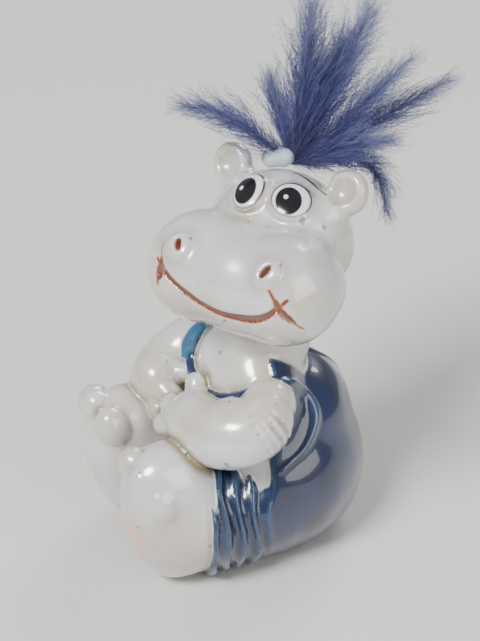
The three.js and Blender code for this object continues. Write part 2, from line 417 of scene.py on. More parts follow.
@dataclass
class TrouserLeg(Form):
    """A trouser leg pushed up in scrunched folds, with its hem at the ankle."""

    side: int
    spread: float = 8.9
    radius: float = 8.2
    tallness: float = 1.2
    height: float = 10.3
    slope: float = 3.0
    front: float = -14.6
    length: float = 20.0
    fold_pitch: float = 2.5
    fold_height: float = 0.62
    fold_run: float = 11.0

    def reach(self) -> tuple[np.ndarray, np.ndarray]:
        """Returns the lowest and highest corner of the form's box."""
        wide = self.radius + self.fold_height
        middle = self.side * self.spread
        tall = wide * self.tallness + 1.2
        low = np.array([middle - wide, self.front - 1, self.height - tall])
        return low, np.array([middle + wide, self.front + self.length, self.height + tall])

    def folds(self, along: np.ndarray, angle: np.ndarray) -> np.ndarray:
        """Gives the height of the scrunched folds.

        Args:
            along: Distance back from the hem.
            angle: Angle round the leg.

        Returns:
            How far the cloth stands out from the leg's plain radius.
        """
        drift = 0.55 * np.sin(2 * angle + 0.6 * self.side) + 0.3 * np.sin(5 * angle + along * 0.5 + 2.1)
        wave = along / self.fold_pitch + 0.42 * drift
        ridge = (0.5 + 0.5 * np.cos(2 * math.pi * wave)) ** 1.3
        small = 0.5 + 0.5 * np.cos(2 * math.pi * (1.9 * wave + 0.35 * np.sin(3 * angle + 1.0)))
        fade = np.clip((self.fold_run - along) / 3.5, 0, 1)
        return self.fold_height * (ridge * 1.25 + 0.35 * small - 0.75) * fade * fade * (3 - 2 * fade)

    def depth(self, points: np.ndarray) -> np.ndarray:
        """Returns the field at each point."""
        turn = turn_about(0, -self.slope)
        local = (points - np.array([self.side * self.spread, self.front, self.height])) @ turn
        along = local[:, 1]
        tall = local[:, 2] / self.tallness
        across = np.hypot(local[:, 0], tall)
        plain = np.interp(along, [0, 9.2, 14, 19, self.length], [1, 1, 0.9, 0.5, 0.0]) * self.radius
        plain = plain + self.folds(along, np.arctan2(tall, local[:, 0]))
        return -smooth_min(plain - across, along, 0.7)


@dataclass
class Dungarees(Form):
    """The swollen body of the garment, open over the middle of the chest and round the arms."""

    body: Blend
    gap_left: float = -0.4
    gap_right: float = -5.6
    neckline: float = 34.0
    spread: float = 0.55
    tab_floor: float = 29.3
    tab_rise: float = 0.42

    def reach(self) -> tuple[np.ndarray, np.ndarray]:
        """Returns the lowest and highest corner of the form's box."""
        return self.body.reach()

    def bare(self, points: np.ndarray) -> np.ndarray:
        """Gives the bare part of the chest as a field, below nought where the skin shows."""
        across, forward, up = points[:, 0], points[:, 1], points[:, 2]
        flare = self.spread * np.maximum(up - self.neckline, 0)
        edge = 0.35 * np.sin(up * 1.7) + 0.2 * np.sin(up * 3.1 + 1)
        gap = np.maximum(across - self.gap_left - flare - edge, self.gap_right - flare - across)
        tab = up - self.tab_floor - self.tab_rise * np.maximum(across - 1.5, 0)
        below = -smooth_min(-tab, across - self.gap_left, 1.6)
        beyond = self.gap_right - flare - across
        front = forward + 2.0 - 0.15 * (up - 30)
        return -smooth_min(-smooth_min(smooth_min(gap, below, 1.4), beyond, 0.3), -front, 0.5)

    def depth(self, points: np.ndarray) -> np.ndarray:
        """Returns the field at each point."""
        return -smooth_min(-self.body.depth(points), self.bare(points), 0.5)


# The figure's sub-assemblies


@dataclass
class Head:
    """The head: cranium, muzzle, ears, eye domes, nostrils and the cut smile."""

    centre: Triple = (0.2, 3.8, 51.0)
    turn: float = 33.0
    lift: float = 20.0
    tip: float = -2.0
    cranium: tuple[Triple, Triple] = ((0.0, 1.0, 1.8), (12.0, 9.9, 10.4))
    muzzle: Blend = field(
        default_factory=lambda: Blend(
            (0.0, -7.5, -3.5),
            (
                ((0.0, -6.6, -3.5), (15.0, 10.4, 9.0)),
                ((-7.6, -7.9, -3.5), (8.3, 8.9, 8.6)),
                ((7.6, -7.9, -3.5), (8.0, 8.9, 8.6)),
            ),
            0.8,
        )
    )
    ear_spacing: float = 10.3
    ear_height: float = 11.1
    smile: tuple[Triple, ...] = (
        (-9.4, -16.6, -3.3),
        (-7.55, -16.78, -4.72),
        (-3.85, -16.24, -6.5),
        (-1.43, -15.94, -7.31),
        (0.95, -15.63, -7.9),
        (3.45, -15.42, -7.98),
        (6.02, -15.75, -7.56),
        (7.83, -16.08, -6.96),
        (9.3, -16.05, -6.0),
        (10.5, -15.85, -4.7),
    )
    right_dimple: tuple[Triple, ...] = ((-10.1, -16.2, -1.6), (-9.8, -16.3, -3.0), (-10.1, -16.3, -4.4))
    left_dimple: tuple[Triple, ...] = ((10.3, -16.0, -3.8), (11.3, -15.6, -5.2), (12.6, -13.9, -6.5))
    eyes: tuple[tuple[Triple, Triple, Triple], ...] = (
        ((-2.35, -5.95, 8.91), (0.909, 0.139, 0.385), (-0.319, 0.735, 0.601)),
        ((4.52, -5.2, 8.89), (0.859, 0.508, 0.067), (-0.402, 0.587, 0.704)),
    )
    eye_radii: tuple[tuple[float, float], ...] = ((2.75, 3.45), (3.1, 3.1))
    nostrils: tuple[Triple, ...] = ((-7.3, -15.92, 0.45), (7.98, -16.01, 0.05))

    def rotation(self) -> np.ndarray:
        """Returns the head's turn from its own axes to the frame's."""
        return turn_about(2, self.turn) @ turn_about(0, -self.lift) @ turn_about(1, self.tip)

    def bare(self) -> Clay:
        """Returns the skull: cranium and muzzle with the soft crease between them."""
        at, radii = self.cranium
        return Clay().join(Pillow(at, radii)).join(self.muzzle, 1.3)

    def strand(self, skull: Clay, points: Sequence[Triple], radii: Sequence[float]) -> Limb:
        """Lays a groove's round section on the skull.

        Args:
            skull: The clay it lies on.
            points: Points close to the skull.
            radii: Its radius at the first and the last point and between them.

        Returns:
            The strand as a limb.
        """
        on = skull.settle(np.array(points, float), 5)
        thick = np.interp(np.linspace(0, 1, len(on)), np.linspace(0, 1, len(radii)), radii)
        return Limb([(*place, size) for place, size in zip(on, thick)], 28)

    def eye_axes(self, eye: int) -> tuple[np.ndarray, np.ndarray]:
        """Gives an eye's axes.

        Args:
            eye: 0 for the figure's right eye, 1 for its left.

        Returns:
            The centre, and a matrix whose columns are the eye's width, height and outward ways.
        """
        centre, wide, high = (np.array(value) for value in self.eyes[eye])
        out = np.cross(wide, high)
        out /= np.linalg.norm(out)
        wide /= np.linalg.norm(wide)
        return centre, np.stack([wide, np.cross(out, wide), out], axis=1)

    def clay(self) -> Clay:
        """Returns the whole head in its own axes."""
        skull = self.bare()
        head = Clay().join(skull, 0.0)
        for eye, (wide, high) in enumerate(self.eye_radii):
            centre, axes = self.eye_axes(eye)
            sunk = centre - axes[:, 2] * 0.35
            head.join(Pillow(tuple(sunk), (wide + 0.35, high + 0.35, 1.35), 2.0, turn=axes), 0.7)
        for side in (-1, 1):
            across = side * self.ear_spacing
            rim = Pillow((across, 1.4, self.ear_height), (3.3, 1.9, 3.3), 2.3)
            stem = Limb([(side * 8.0, 0.9, 7.6, 2.8), (side * 9.7, 1.3, 9.6, 2.3)])
            head.join(Clay().join(rim).join(stem, 1.2), 1.6)
            head.carve(Pillow((across, -0.7, self.ear_height + 0.2), (2.1, 1.5, 2.1)), 0.9)
        for at, side in zip(self.nostrils, (-1, 1)):
            mound = tuple(skull.settle(np.array([at]), 5)[0] + np.array([0.0, 0.25, 0.0]))
            head.join(Pillow(mound, (2.15, 0.85, 2.1), lean=-28), 0.45)
            head.carve(Pillow(mound, (0.5, 1.5, 1.15), lean=-28, roll=side * 25), 0.5)
        head.carve(self.strand(skull, self.smile, (0.42, 0.5, 0.5, 0.55, 0.5, 0.42)), 0.35)
        head.carve(self.strand(skull, self.right_dimple, (0.3, 0.5, 0.65)), 0.35)
        head.carve(self.strand(skull, self.left_dimple, (0.45, 0.55, 0.45)), 0.35)
        return head


@dataclass
class Torso:
    """The body under the garment, the neck and the shoulders."""

    body: Blend = field(
        default_factory=lambda: Blend(
            (0.0, 2.0, 21.0),
            (
                ((0.0, 1.0, 12.0), (16.6, 16.5, 15.7)),
                ((0.0, 2.6, 22.2), (12.2, 12.3, 8.7)),
                ((0.0, -1.4, 28.6), (12.0, 7.6, 9.6)),
            ),
            1.25,
        )
    )
    neck: tuple[Station, ...] = ((0.1, 0.8, 32.0, 7.6), (0.2, 3.2, 45.0, 7.6))
    cloth_relief: float = 0.6
    lip_radius: float = 0.75
    right_strap: tuple[Station, ...] = (
        (-7.0, -3.4, 36.0, 1.3),
        (-8.0, -5.6, 33.6, 1.6),
        (-8.1, -7.4, 31.4, 1.7),
        (-7.9, -8.8, 29.7, 1.1),
    )
    armhole: tuple[Triple, ...] = (
        (1.0, -9.0, 29.6),
        (3.4, -8.6, 29.2),
        (5.6, -7.9, 29.8),
        (9.1, -4.7, 31.9),
        (10.1, 0.4, 32.8),
        (9.6, 4.9, 29.8),
        (11.4, 5.2, 26.0),
        (13.6, 2.7, 22.4),
        (14.4, -2.0, 19.5),
    )
    back_seam: tuple[Triple, ...] = ((0.0, 6.5, 34.5), (-0.4, 10.5, 30.0), (-0.2, 14.0, 26.0), (0.0, 16.2, 20.0))

    def garment(self) -> Clay:
        """Returns the dungarees with their rolled edges."""
        swollen = Blend(self.body.start, self.body.masses, self.body.softness, self.cloth_relief)
        cloth = Clay().join(Dungarees(swollen))
        for side in (-1, 1):
            way = swollen.settle(np.array(self.armhole) * (side, 1, 1), 6)
            thick = np.interp(np.arange(len(way)), [0, 1, 6, 8], [0.55, 0.8, 0.85, 0.3]) * self.lip_radius / 0.8
            cloth.join(Limb([(*place, size) for place, size in zip(way, thick)], 40), 0.7)
            cloth.join(TrouserLeg(side), 1.6)
        seam = swollen.settle(np.array(self.back_seam), 6) - np.array([0.0, 0.25, 0.0])
        cloth.join(Limb([(*place, 0.5) for place in seam], 24), 0.6)
        cloth.join(Limb(self.right_strap), 0.2)
        return cloth


@dataclass
class Arm:
    """One arm with its mitten hand: a tapering limb, a palm and soft finger lobes."""

    stations: tuple[Station, ...]
    palm: tuple[Triple, Triple]
    fingers: tuple[tuple[Station, Station], ...]
    finger_fillet: float = 0.5

    def clay(self) -> Clay:
        """Returns the arm."""
        arm = Clay().join(Limb(self.stations, 24)).join(Pillow(*self.palm), 2.4)
        for finger in self.fingers:
            arm.join(Limb(finger, 8), self.finger_fillet)
        return arm


RIGHT_ARM = Arm(
    stations=((-9.4, -2.8, 31.6, 4.4), (-11.5, -7.0, 28.9, 4.8), (-11.2, -11.0, 26.2, 5.0), (-9.2, -12.9, 25.4, 4.6)),
    palm=((-8.4, -13.8, 25.6), (4.2, 3.9, 4.6)),
    fingers=(
        ((-7.4, -14.2, 26.9, 2.4), (-3.6, -13.0, 25.6, 2.1)),
        ((-8.4, -15.1, 24.9, 2.5), (-4.8, -14.8, 23.0, 2.1)),
        ((-9.2, -15.6, 23.2, 2.5), (-6.6, -16.0, 20.8, 2.1)),
        ((-8.4, -12.0, 27.8, 2.1), (-5.0, -9.4, 28.1, 1.8)),
    ),
)
LEFT_ARM = Arm(
    stations=(
        (11.4, -2.4, 30.4, 4.2),
        (13.4, -5.0, 29.2, 5.1),
        (12.9, -8.0, 27.9, 5.7),
        (10.2, -11.0, 26.9, 5.4),
        (6.4, -13.0, 27.1, 4.4),
    ),
    palm=((4.2, -12.8, 26.8), (3.9, 3.6, 4.0)),
    fingers=(
        ((3.0, -11.4, 27.6, 2.2), (0.9, -10.4, 30.2, 1.8)),
        ((3.2, -13.2, 26.4, 2.4), (-0.4, -14.2, 26.3, 1.9)),
        ((4.4, -14.0, 24.6, 2.4), (0.8, -16.0, 23.9, 2.0)),
    ),
)


@dataclass
class Foot:
    """One bare foot, sole forward: ankle, foot and three flush toes joined with tight fillets that leave creases."""

    side: int
    lean: float
    toes: tuple[Triple, ...]
    spread: float = 8.6
    ankle_spread: float = 8.9
    toe_radii: Triple = (2.9, 2.9, 4.0)

    def clay(self) -> Clay:
        """Returns the foot."""
        ankle = Pillow((self.side * self.ankle_spread, -14.6, 10.9), (7.3, 8.0, 8.64))
        sole = Pillow((self.side * self.spread, -18.4, 13.1), (6.9, 7.9, 12.7), 2.3, self.lean)
        foot = Clay().join(ankle).join(sole, 2.5)
        for toe in self.toes:
            foot.join(Pillow(toe, self.toe_radii, lean=self.lean + 8), 0.25)
        return foot


RIGHT_FOOT = Foot(-1, 12.0, ((-5.0, -22.6, 21.6), (-9.6, -23.4, 22.2), (-13.0, -22.8, 20.9)))
LEFT_FOOT = Foot(1, 9.0, ((6.0, -22.9, 21.1), (9.9, -22.9, 20.2), (12.6, -21.2, 18.0)))


@dataclass
class Figure(Form):
    """The whole casting, skin and garment."""

    head: Head = field(default_factory=Head)
    torso: Torso = field(default_factory=Torso)
    seam_fillet: float = 0.3
    foot_edge: float = 0.9
    unevenness: Unevenness = field(default_factory=Unevenness)
    skin: Clay = field(init=False)
    cloth: Clay = field(init=False)
    placed_head: Placed = field(init=False)

    def __post_init__(self) -> None:
        """Puts the skin and the garment together."""
        self.placed_head = Placed(self.head.clay(), self.head.rotation(), self.head.centre)
        self.skin = Clay().join(self.torso.body).join(Limb(self.torso.neck), 2.0)
        self.skin.join(RIGHT_ARM.clay(), 0.35).join(LEFT_ARM.clay(), 0.3)
        self.skin.join(RIGHT_FOOT.clay(), 0.4).join(LEFT_FOOT.clay(), 0.4)
        self.skin.join(self.placed_head, 0.8)
        self.cloth = self.torso.garment()

    def reach(self) -> tuple[np.ndarray, np.ndarray]:
        """Returns the lowest and highest corner of the form's box."""
        low, high = self.skin.reach()
        other_low, other_high = self.cloth.reach()
        return np.minimum(low, other_low), np.maximum(high, other_high)

    def layers(self, points: np.ndarray) -> tuple[np.ndarray, np.ndarray]:
        """Returns the fields of the skin and of the garment."""
        return self.skin.depth(points), self.cloth.depth(points)

    def depth(self, points: np.ndarray) -> np.ndarray:
        """Returns the field at each point."""
        skin, cloth = self.layers(points)
        whole = smooth_min(skin, cloth, self.seam_fillet) - self.unevenness.value(points)
        return -smooth_min(-whole, points[:, 2], self.foot_edge)


# From a field to a mesh


@dataclass
class Skinner:
    """Turns a field into a mesh of even quads that lie on its surface."""

    pitch: float = 0.42
    coarse: int = 4
    steepest: float = 2.0

    def sample(self, form: Form) -> tuple[np.ndarray, np.ndarray]:
        """Samples the field on a grid, closely only near the surface.

        Args:
            form: The form whose field is sampled.

        Returns:
            The grid of values, and its lowest corner.
        """
        low, high = form.reach()
        low = low - 3 * self.pitch
        shape = np.ceil((high + 3 * self.pitch - low) / self.pitch / self.coarse).astype(int) * self.coarse
        wide = self.pitch * self.coarse
        rough_axes = [low[axis] + (np.arange(shape[axis] // self.coarse) + 0.5) * wide for axis in range(3)]
        rough = np.stack(np.meshgrid(*rough_axes, indexing="ij"), axis=-1).reshape(-1, 3)
        rough_value = form.depth(rough).reshape(shape // self.coarse)
        near = np.abs(rough_value) < wide * self.steepest
        for axis in range(3):
            near = near.repeat(self.coarse, axis=axis)
            rough_value = rough_value.repeat(self.coarse, axis=axis)
        value = np.where(rough_value < 0, -self.pitch, self.pitch)
        picked = np.argwhere(near)
        value[near] = form.depth(low + picked * self.pitch)
        return value, low

    def nets(self, value: np.ndarray, low: np.ndarray) -> tuple[np.ndarray, np.ndarray]:
        """Puts a vertex in each cell that the surface crosses and a quad on each crossed edge.

        Args:
            value: The grid of field values.
            low: The place of the grid's first sample.

        Returns:
            The vertices, and the quads as rows of vertex numbers.
        """
        inside = value < 0
        cells = tuple(size - 1 for size in value.shape)
        corners = [(x, y, z) for x in (0, 1) for y in (0, 1) for z in (0, 1)]

        def corner(grid: np.ndarray, at: tuple[int, int, int]) -> np.ndarray:
            """Returns one corner's value for every cell."""
            return grid[tuple(slice(shift, shift + size) for shift, size in zip(at, cells))]

        filled = sum(corner(inside, at).astype(np.int8) for at in corners)
        crossed = (filled > 0) & (filled < 8)
        number = np.full(cells, -1)
        number[crossed] = np.arange(crossed.sum())
        base = np.argwhere(crossed).astype(float)
        total, count = np.zeros_like(base), np.zeros(len(base))
        for start in corners:
            for axis in range(3):
                if start[axis]:
                    continue
                end = tuple(1 if other == axis else start[other] for other in range(3))
                first, second = corner(value, start)[crossed], corner(value, end)[crossed]
                cuts = (first < 0) != (second < 0)
                share = np.where(cuts, first / np.where(cuts, first - second, 1), 0)
                place = np.array(start, float) + share[:, None] * np.eye(3)[axis]
                total += place * cuts[:, None]
                count += cuts
        vertices = low + (base + total / count[:, None]) * self.pitch
        return vertices, self.quads(inside, number)

    @staticmethod
    def quads(inside: np.ndarray, number: np.ndarray) -> np.ndarray:
        """Links the cells round each crossed grid edge.

        Args:
            inside: Which grid samples are inside the form.
            number: The vertex number of each cell, or -1.

        Returns:
            The quads, facing out.
        """
        found = []
        for axis in range(3):
            one, two = (axis + 1) % 3, (axis + 2) % 3
            lower = [slice(1, -1)] * 3
            upper = [slice(1, -1)] * 3
            lower[axis], upper[axis] = slice(0, -1), slice(1, None)
            first, second = inside[tuple(lower)], inside[tuple(upper)]
            at = np.argwhere(first != second)
            outward = first[first != second]
            at[:, one] += 1
            at[:, two] += 1
            ring = []
            for back_one, back_two in ((1, 1), (0, 1), (0, 0), (1, 0)):
                cell = at.copy()
                cell[:, one] -= back_one
                cell[:, two] -= back_two
                ring.append(number[cell[:, 0], cell[:, 1], cell[:, 2]])
            ring_array = np.stack(ring, axis=1)
            found.append(np.where(outward[:, None], ring_array, ring_array[:, ::-1]))
        return np.concatenate(found)

    def skin(self, form: Form) -> tuple[np.ndarray, np.ndarray]:
        """Makes the mesh.

        Args:
            form: The form whose surface is wanted.

        Returns:
            The vertices on the surface in millimetres, and the quads.
        """
        value, low = self.sample(form)
        vertices, quads = self.nets(value, low)
        for _ in range(2):
            vertices = form.settle(self.eased(vertices, quads), 1)
        return form.settle(vertices, 1), quads

    @staticmethod
    def eased(vertices: np.ndarray, quads: np.ndarray) -> np.ndarray:
        """Moves each vertex halfway to the mean of its neighbours, to even out the quads."""
        pairs = np.concatenate([quads[:, [0, 1]], quads[:, [1, 2]], quads[:, [2, 3]], quads[:, [3, 0]]])
        total, count = np.zeros_like(vertices), np.zeros(len(vertices))
        for start, end in ((0, 1), (1, 0)):
            for axis in range(3):
                total[:, axis] += np.bincount(
                    pairs[:, start], vertices[pairs[:, end], axis], minlength=len(vertices)
                )
            count += np.bincount(pairs[:, start], minlength=len(vertices))
        return vertices + 0.5 * (total / np.maximum(count, 1)[:, None] - vertices)


def new_object(name: str, vertices: np.ndarray, faces: np.ndarray) -> bpy.types.Object:
    """Makes a smooth-shaded mesh object at the origin.

    Args:
        name: The piece's name.
        vertices: Places in millimetres, a row each.
        faces: Rows of vertex numbers.

    Returns:
        The new object, linked to the scene.
    """
    mesh = bpy.data.meshes.new(name)
    mesh.from_pydata((vertices * MILLIMETRE).tolist(), [], faces.tolist())
    mesh.validate()
    mesh.polygons.foreach_set("use_smooth", np.ones(len(mesh.polygons), bool))
    made = bpy.data.objects.new(name, mesh)
    bpy.context.scene.collection.objects.link(made)
    return made


def put_attribute(made: bpy.types.Object, name: str, values: np.ndarray) -> None:
    """Stores a number or a vector on every vertex.

    Args:
        made: The object whose mesh gets it.
        name: The attribute's name.
        values: One value or one row a vertex.
    """
    is_vector = values.ndim == 2
    kind = "FLOAT_VECTOR" if is_vector else "FLOAT"
    attribute = made.data.attributes.new(name, kind, "POINT")
    attribute.data.foreach_set("vector" if is_vector else "value", values.astype(np.float32).ravel())


# Node sheets and the effects that several finishes share


def paint(red: int, green: int, blue: int) -> Colour:
    """Turns a colour mixed on screen, 0 to 255, into light values."""
    parts = (channel / 255 for channel in (red, green, blue))
    return tuple(part / 12.92 if part <= 0.04045 else ((part + 0.055) / 1.055) ** 2.4 for part in parts)


@dataclass
class Sheet:
    """A node tree with short ways to place and wire its nodes."""

    tree: bpy.types.NodeTree

    def add(self, kind: str, wires: dict[str | int, object] | None = None, **settings: object) -> bpy.types.Node:
        """Places a node.

        Args:
            kind: The node's type name.
            wires: What goes into its sockets: another socket, or a plain value.
            **settings: The node's own settings.

        Returns:
            The node.
        """
        node = self.tree.nodes.new(kind)
        for key, value in settings.items():
            setattr(node, key, value)
        for key, value in (wires or {}).items():
            socket = node.inputs[key]
            if isinstance(value, bpy.types.NodeSocket):
                self.tree.links.new(value, socket)
            elif socket.type == "RGBA":
                socket.default_value = (*value, 1.0)
            else:
                socket.default_value = value
        return node

    def math(self, operation: str, *values: object, clamp: bool = False) -> bpy.types.NodeSocket:
        """Places a math node and returns its result."""
        return self.add("ShaderNodeMath", dict(enumerate(values)), operation=operation, use_clamp=clamp).outputs[0]

    def vector(self, operation: str, *values: object, out: int | str = 0) -> bpy.types.NodeSocket:
        """Places a vector math node and returns one of its results."""
        return self.add("ShaderNodeVectorMath", dict(enumerate(values)), operation=operation).outputs[out]

    def mix(self, share: object, first: object, second: object) -> bpy.types.NodeSocket:
        """Places a colour mix and returns its result."""
        return self.add("ShaderNodeMix", {0: share, 6: first, 7: second}, data_type="RGBA").outputs[2]

    def step(self, value: object, low: float, high: float) -> bpy.types.NodeSocket:
        """Returns a smooth step from nought at low to one at high."""
        wires = {"Value": value, "From Min": low, "From Max": high}
        return self.add("ShaderNodeMapRange", wires, interpolation_type="SMOOTHSTEP").outputs[0]

    def noise(self, place: object, scale: object, detail: float = 2.0, roughness: float = 0.5) -> bpy.types.NodeSocket:
        """Places a noise texture and returns its value."""
        wires = {"Vector": place, "Scale": scale, "Detail": detail, "Roughness": roughness}
        return self.add("ShaderNodeTexNoise", wires).outputs[0]

    def number(self, name: str) -> bpy.types.NodeSocket:
        """Returns a number that the mesh carries."""
        return self.add("ShaderNodeAttribute", attribute_name=name).outputs["Fac"]

    def triple(self, name: str) -> bpy.types.NodeSocket:
        """Returns a vector that the mesh carries."""
        return self.add("ShaderNodeAttribute", attribute_name=name).outputs["Vector"]

    def group(self, tree: bpy.types.NodeTree, **wires: object) -> bpy.types.NodeSocket:
        """Places a shared effect, whose inputs are named with _ for a space, and returns its result."""
        node = self.add("ShaderNodeGroup", node_tree=tree)
        for key, value in wires.items():
            socket = node.inputs[key.replace("_", " ")]
            if isinstance(value, bpy.types.NodeSocket):
                self.tree.links.new(value, socket)
            else:
                socket.default_value = (*value, 1.0) if socket.type == "RGBA" else value
        return node.outputs[0]


def effect(name: str, inputs: dict[str, str], output: tuple[str, str]) -> tuple[Sheet, bpy.types.Node, bpy.types.Node]:
    """Starts a shader group.

    Args:
        name: The group's name.
        inputs: The socket type for each input's name.
        output: The output's name and socket type.

    Returns:
        The sheet, the node of the inputs and the node of the output.
    """
    tree = bpy.data.node_groups.new(name, "ShaderNodeTree")
    for label, kind in inputs.items():
        tree.interface.new_socket(label, in_out="INPUT", socket_type=kind)
    tree.interface.new_socket(output[0], in_out="OUTPUT", socket_type=output[1])
    sheet = Sheet(tree)
    return sheet, sheet.add("NodeGroupInput"), sheet.add("NodeGroupOutput")


NUMBER, VECTOR, COLOUR = "NodeSocketFloat", "NodeSocketVector", "NodeSocketColor"


class Effects:
    """The shader groups that more than one finish uses, each built once."""

    def __init__(self) -> None:
        """Builds every group."""
        self.swell = self._swell()
        self.grime = self._grime()
        self.stroke = self._stroke()
        self.oval = self._oval()

    @staticmethod
    def _swell() -> bpy.types.NodeTree:
        """Builds small uneven swells of a poured or dipped surface, in millimetres."""
        sheet, given, result = effect("uneven_coat", {"Place": VECTOR, "Scale": NUMBER, "Height": NUMBER}, ("Height", NUMBER))
        broad = sheet.noise(given.outputs["Place"], given.outputs["Scale"], 1.5, 0.4)
        fine = sheet.noise(given.outputs["Place"], sheet.math("MULTIPLY", given.outputs["Scale"], 4.3), 2.0, 0.5)
        both = sheet.math("ADD", broad, sheet.math("MULTIPLY", fine, 0.16))
        sheet.tree.links.new(sheet.math("MULTIPLY", both, given.outputs["Height"]), result.inputs[0])
        return sheet.tree

    @staticmethod
    def _grime() -> bpy.types.NodeTree:
        """Builds stain that gathers in hollows and lies in faint clouds elsewhere."""
        wanted = {"Place": VECTOR, "Scale": NUMBER, "Colour": COLOUR, "Stain": COLOUR, "Hollow": NUMBER, "Amount": NUMBER}
        sheet, given, result = effect("grime", wanted, ("Colour", COLOUR))
        cloud = sheet.noise(given.outputs["Place"], given.outputs["Scale"], 3.0, 0.6)
        patchy = sheet.math("MULTIPLY_ADD", cloud, 0.9, -0.35)
        deep = sheet.math("MULTIPLY", given.outputs["Hollow"], sheet.math("ADD", patchy, 0.85))
        share = sheet.math("MULTIPLY", sheet.math("ADD", deep, sheet.math("MULTIPLY", patchy, 0.18)), given.outputs["Amount"], clamp=True)
        sheet.tree.links.new(sheet.mix(share, given.outputs["Colour"], given.outputs["Stain"]), result.inputs[0])
        return sheet.tree

    @staticmethod
    def _stroke() -> bpy.types.NodeTree:
        """Builds the mask of a brush stroke from its share along, distance across and width profile."""
        sheet, given, result = effect("brush_stroke", {"Stroke": VECTOR, "Half Width": NUMBER, "Softness": NUMBER}, ("Mask", NUMBER))
        parts = sheet.add("ShaderNodeSeparateXYZ", {0: given.outputs["Stroke"]})
        width = sheet.math("MULTIPLY", parts.outputs[2], given.outputs["Half Width"])
        inner = sheet.math("SUBTRACT", width, sheet.math("ABSOLUTE", parts.outputs[1]))
        mask = sheet.math("MULTIPLY_ADD", sheet.math("DIVIDE", inner, given.outputs["Softness"]), 0.5, 0.5, clamp=True)
        sheet.tree.links.new(mask, result.inputs[0])
        return sheet.tree

    @staticmethod
    def _oval() -> bpy.types.NodeTree:
        """Builds the mask of a painted oval from places in its own plane."""
        wanted = {"Local": VECTOR, "Middle": VECTOR, "Radii": VECTOR, "Softness": NUMBER}
        sheet, given, result = effect("painted_oval", wanted, ("Mask", NUMBER))
        offset = sheet.vector("SUBTRACT", given.outputs["Local"], given.outputs["Middle"])
        parts = sheet.add("ShaderNodeSeparateXYZ", {0: offset})
        flat = sheet.add("ShaderNodeCombineXYZ", {0: parts.outputs[0], 1: parts.outputs[1]}).outputs[0]
        sized = sheet.vector("DIVIDE", flat, given.outputs["Radii"])
        inner = sheet.math("SUBTRACT", 1.0, sheet.vector("LENGTH", sized, out="Value"))
        mask = sheet.math("MULTIPLY_ADD", sheet.math("DIVIDE", inner, given.outputs["Softness"]), 0.5, 0.5, clamp=True)
        front = sheet.math("GREATER_THAN", parts.outputs[2], -2.0)
        sheet.tree.links.new(sheet.math("MULTIPLY", mask, front), result.inputs[0])
        return sheet.tree


def new_material(name: str) -> tuple[bpy.types.Material, Sheet, bpy.types.Node]:
    """Starts a material with one surface shader.

    Args:
        name: The material's name.

    Returns:
        The material, its sheet and its Principled shader.
    """
    material = bpy.data.materials.new(name)
    material.use_nodes = True
    sheet = Sheet(material.node_tree)
    return material, sheet, material.node_tree.nodes["Principled BSDF"]


def object_place(sheet: Sheet) -> bpy.types.NodeSocket:
    """Returns places on the piece in metres."""
    return sheet.add("ShaderNodeTexCoord").outputs["Object"]


# Finishes


@dataclass(frozen=True)
class EyePaint:
    """The paint of one eye, in millimetres in the eye's own plane."""

    attribute: str
    radii: tuple[float, float]
    white_middle: tuple[float, float]
    white_radii: tuple[float, float]
    pupil_middle: tuple[float, float]
    pupil_radii: tuple[float, float]
    dot_middle: tuple[float, float]
    dot_radius: float = 0.33


@dataclass(frozen=True)
class StrokePaint:
    """One brush stroke of ink."""

    attribute: str
    half_width: float
    softness: float
    colour: Colour


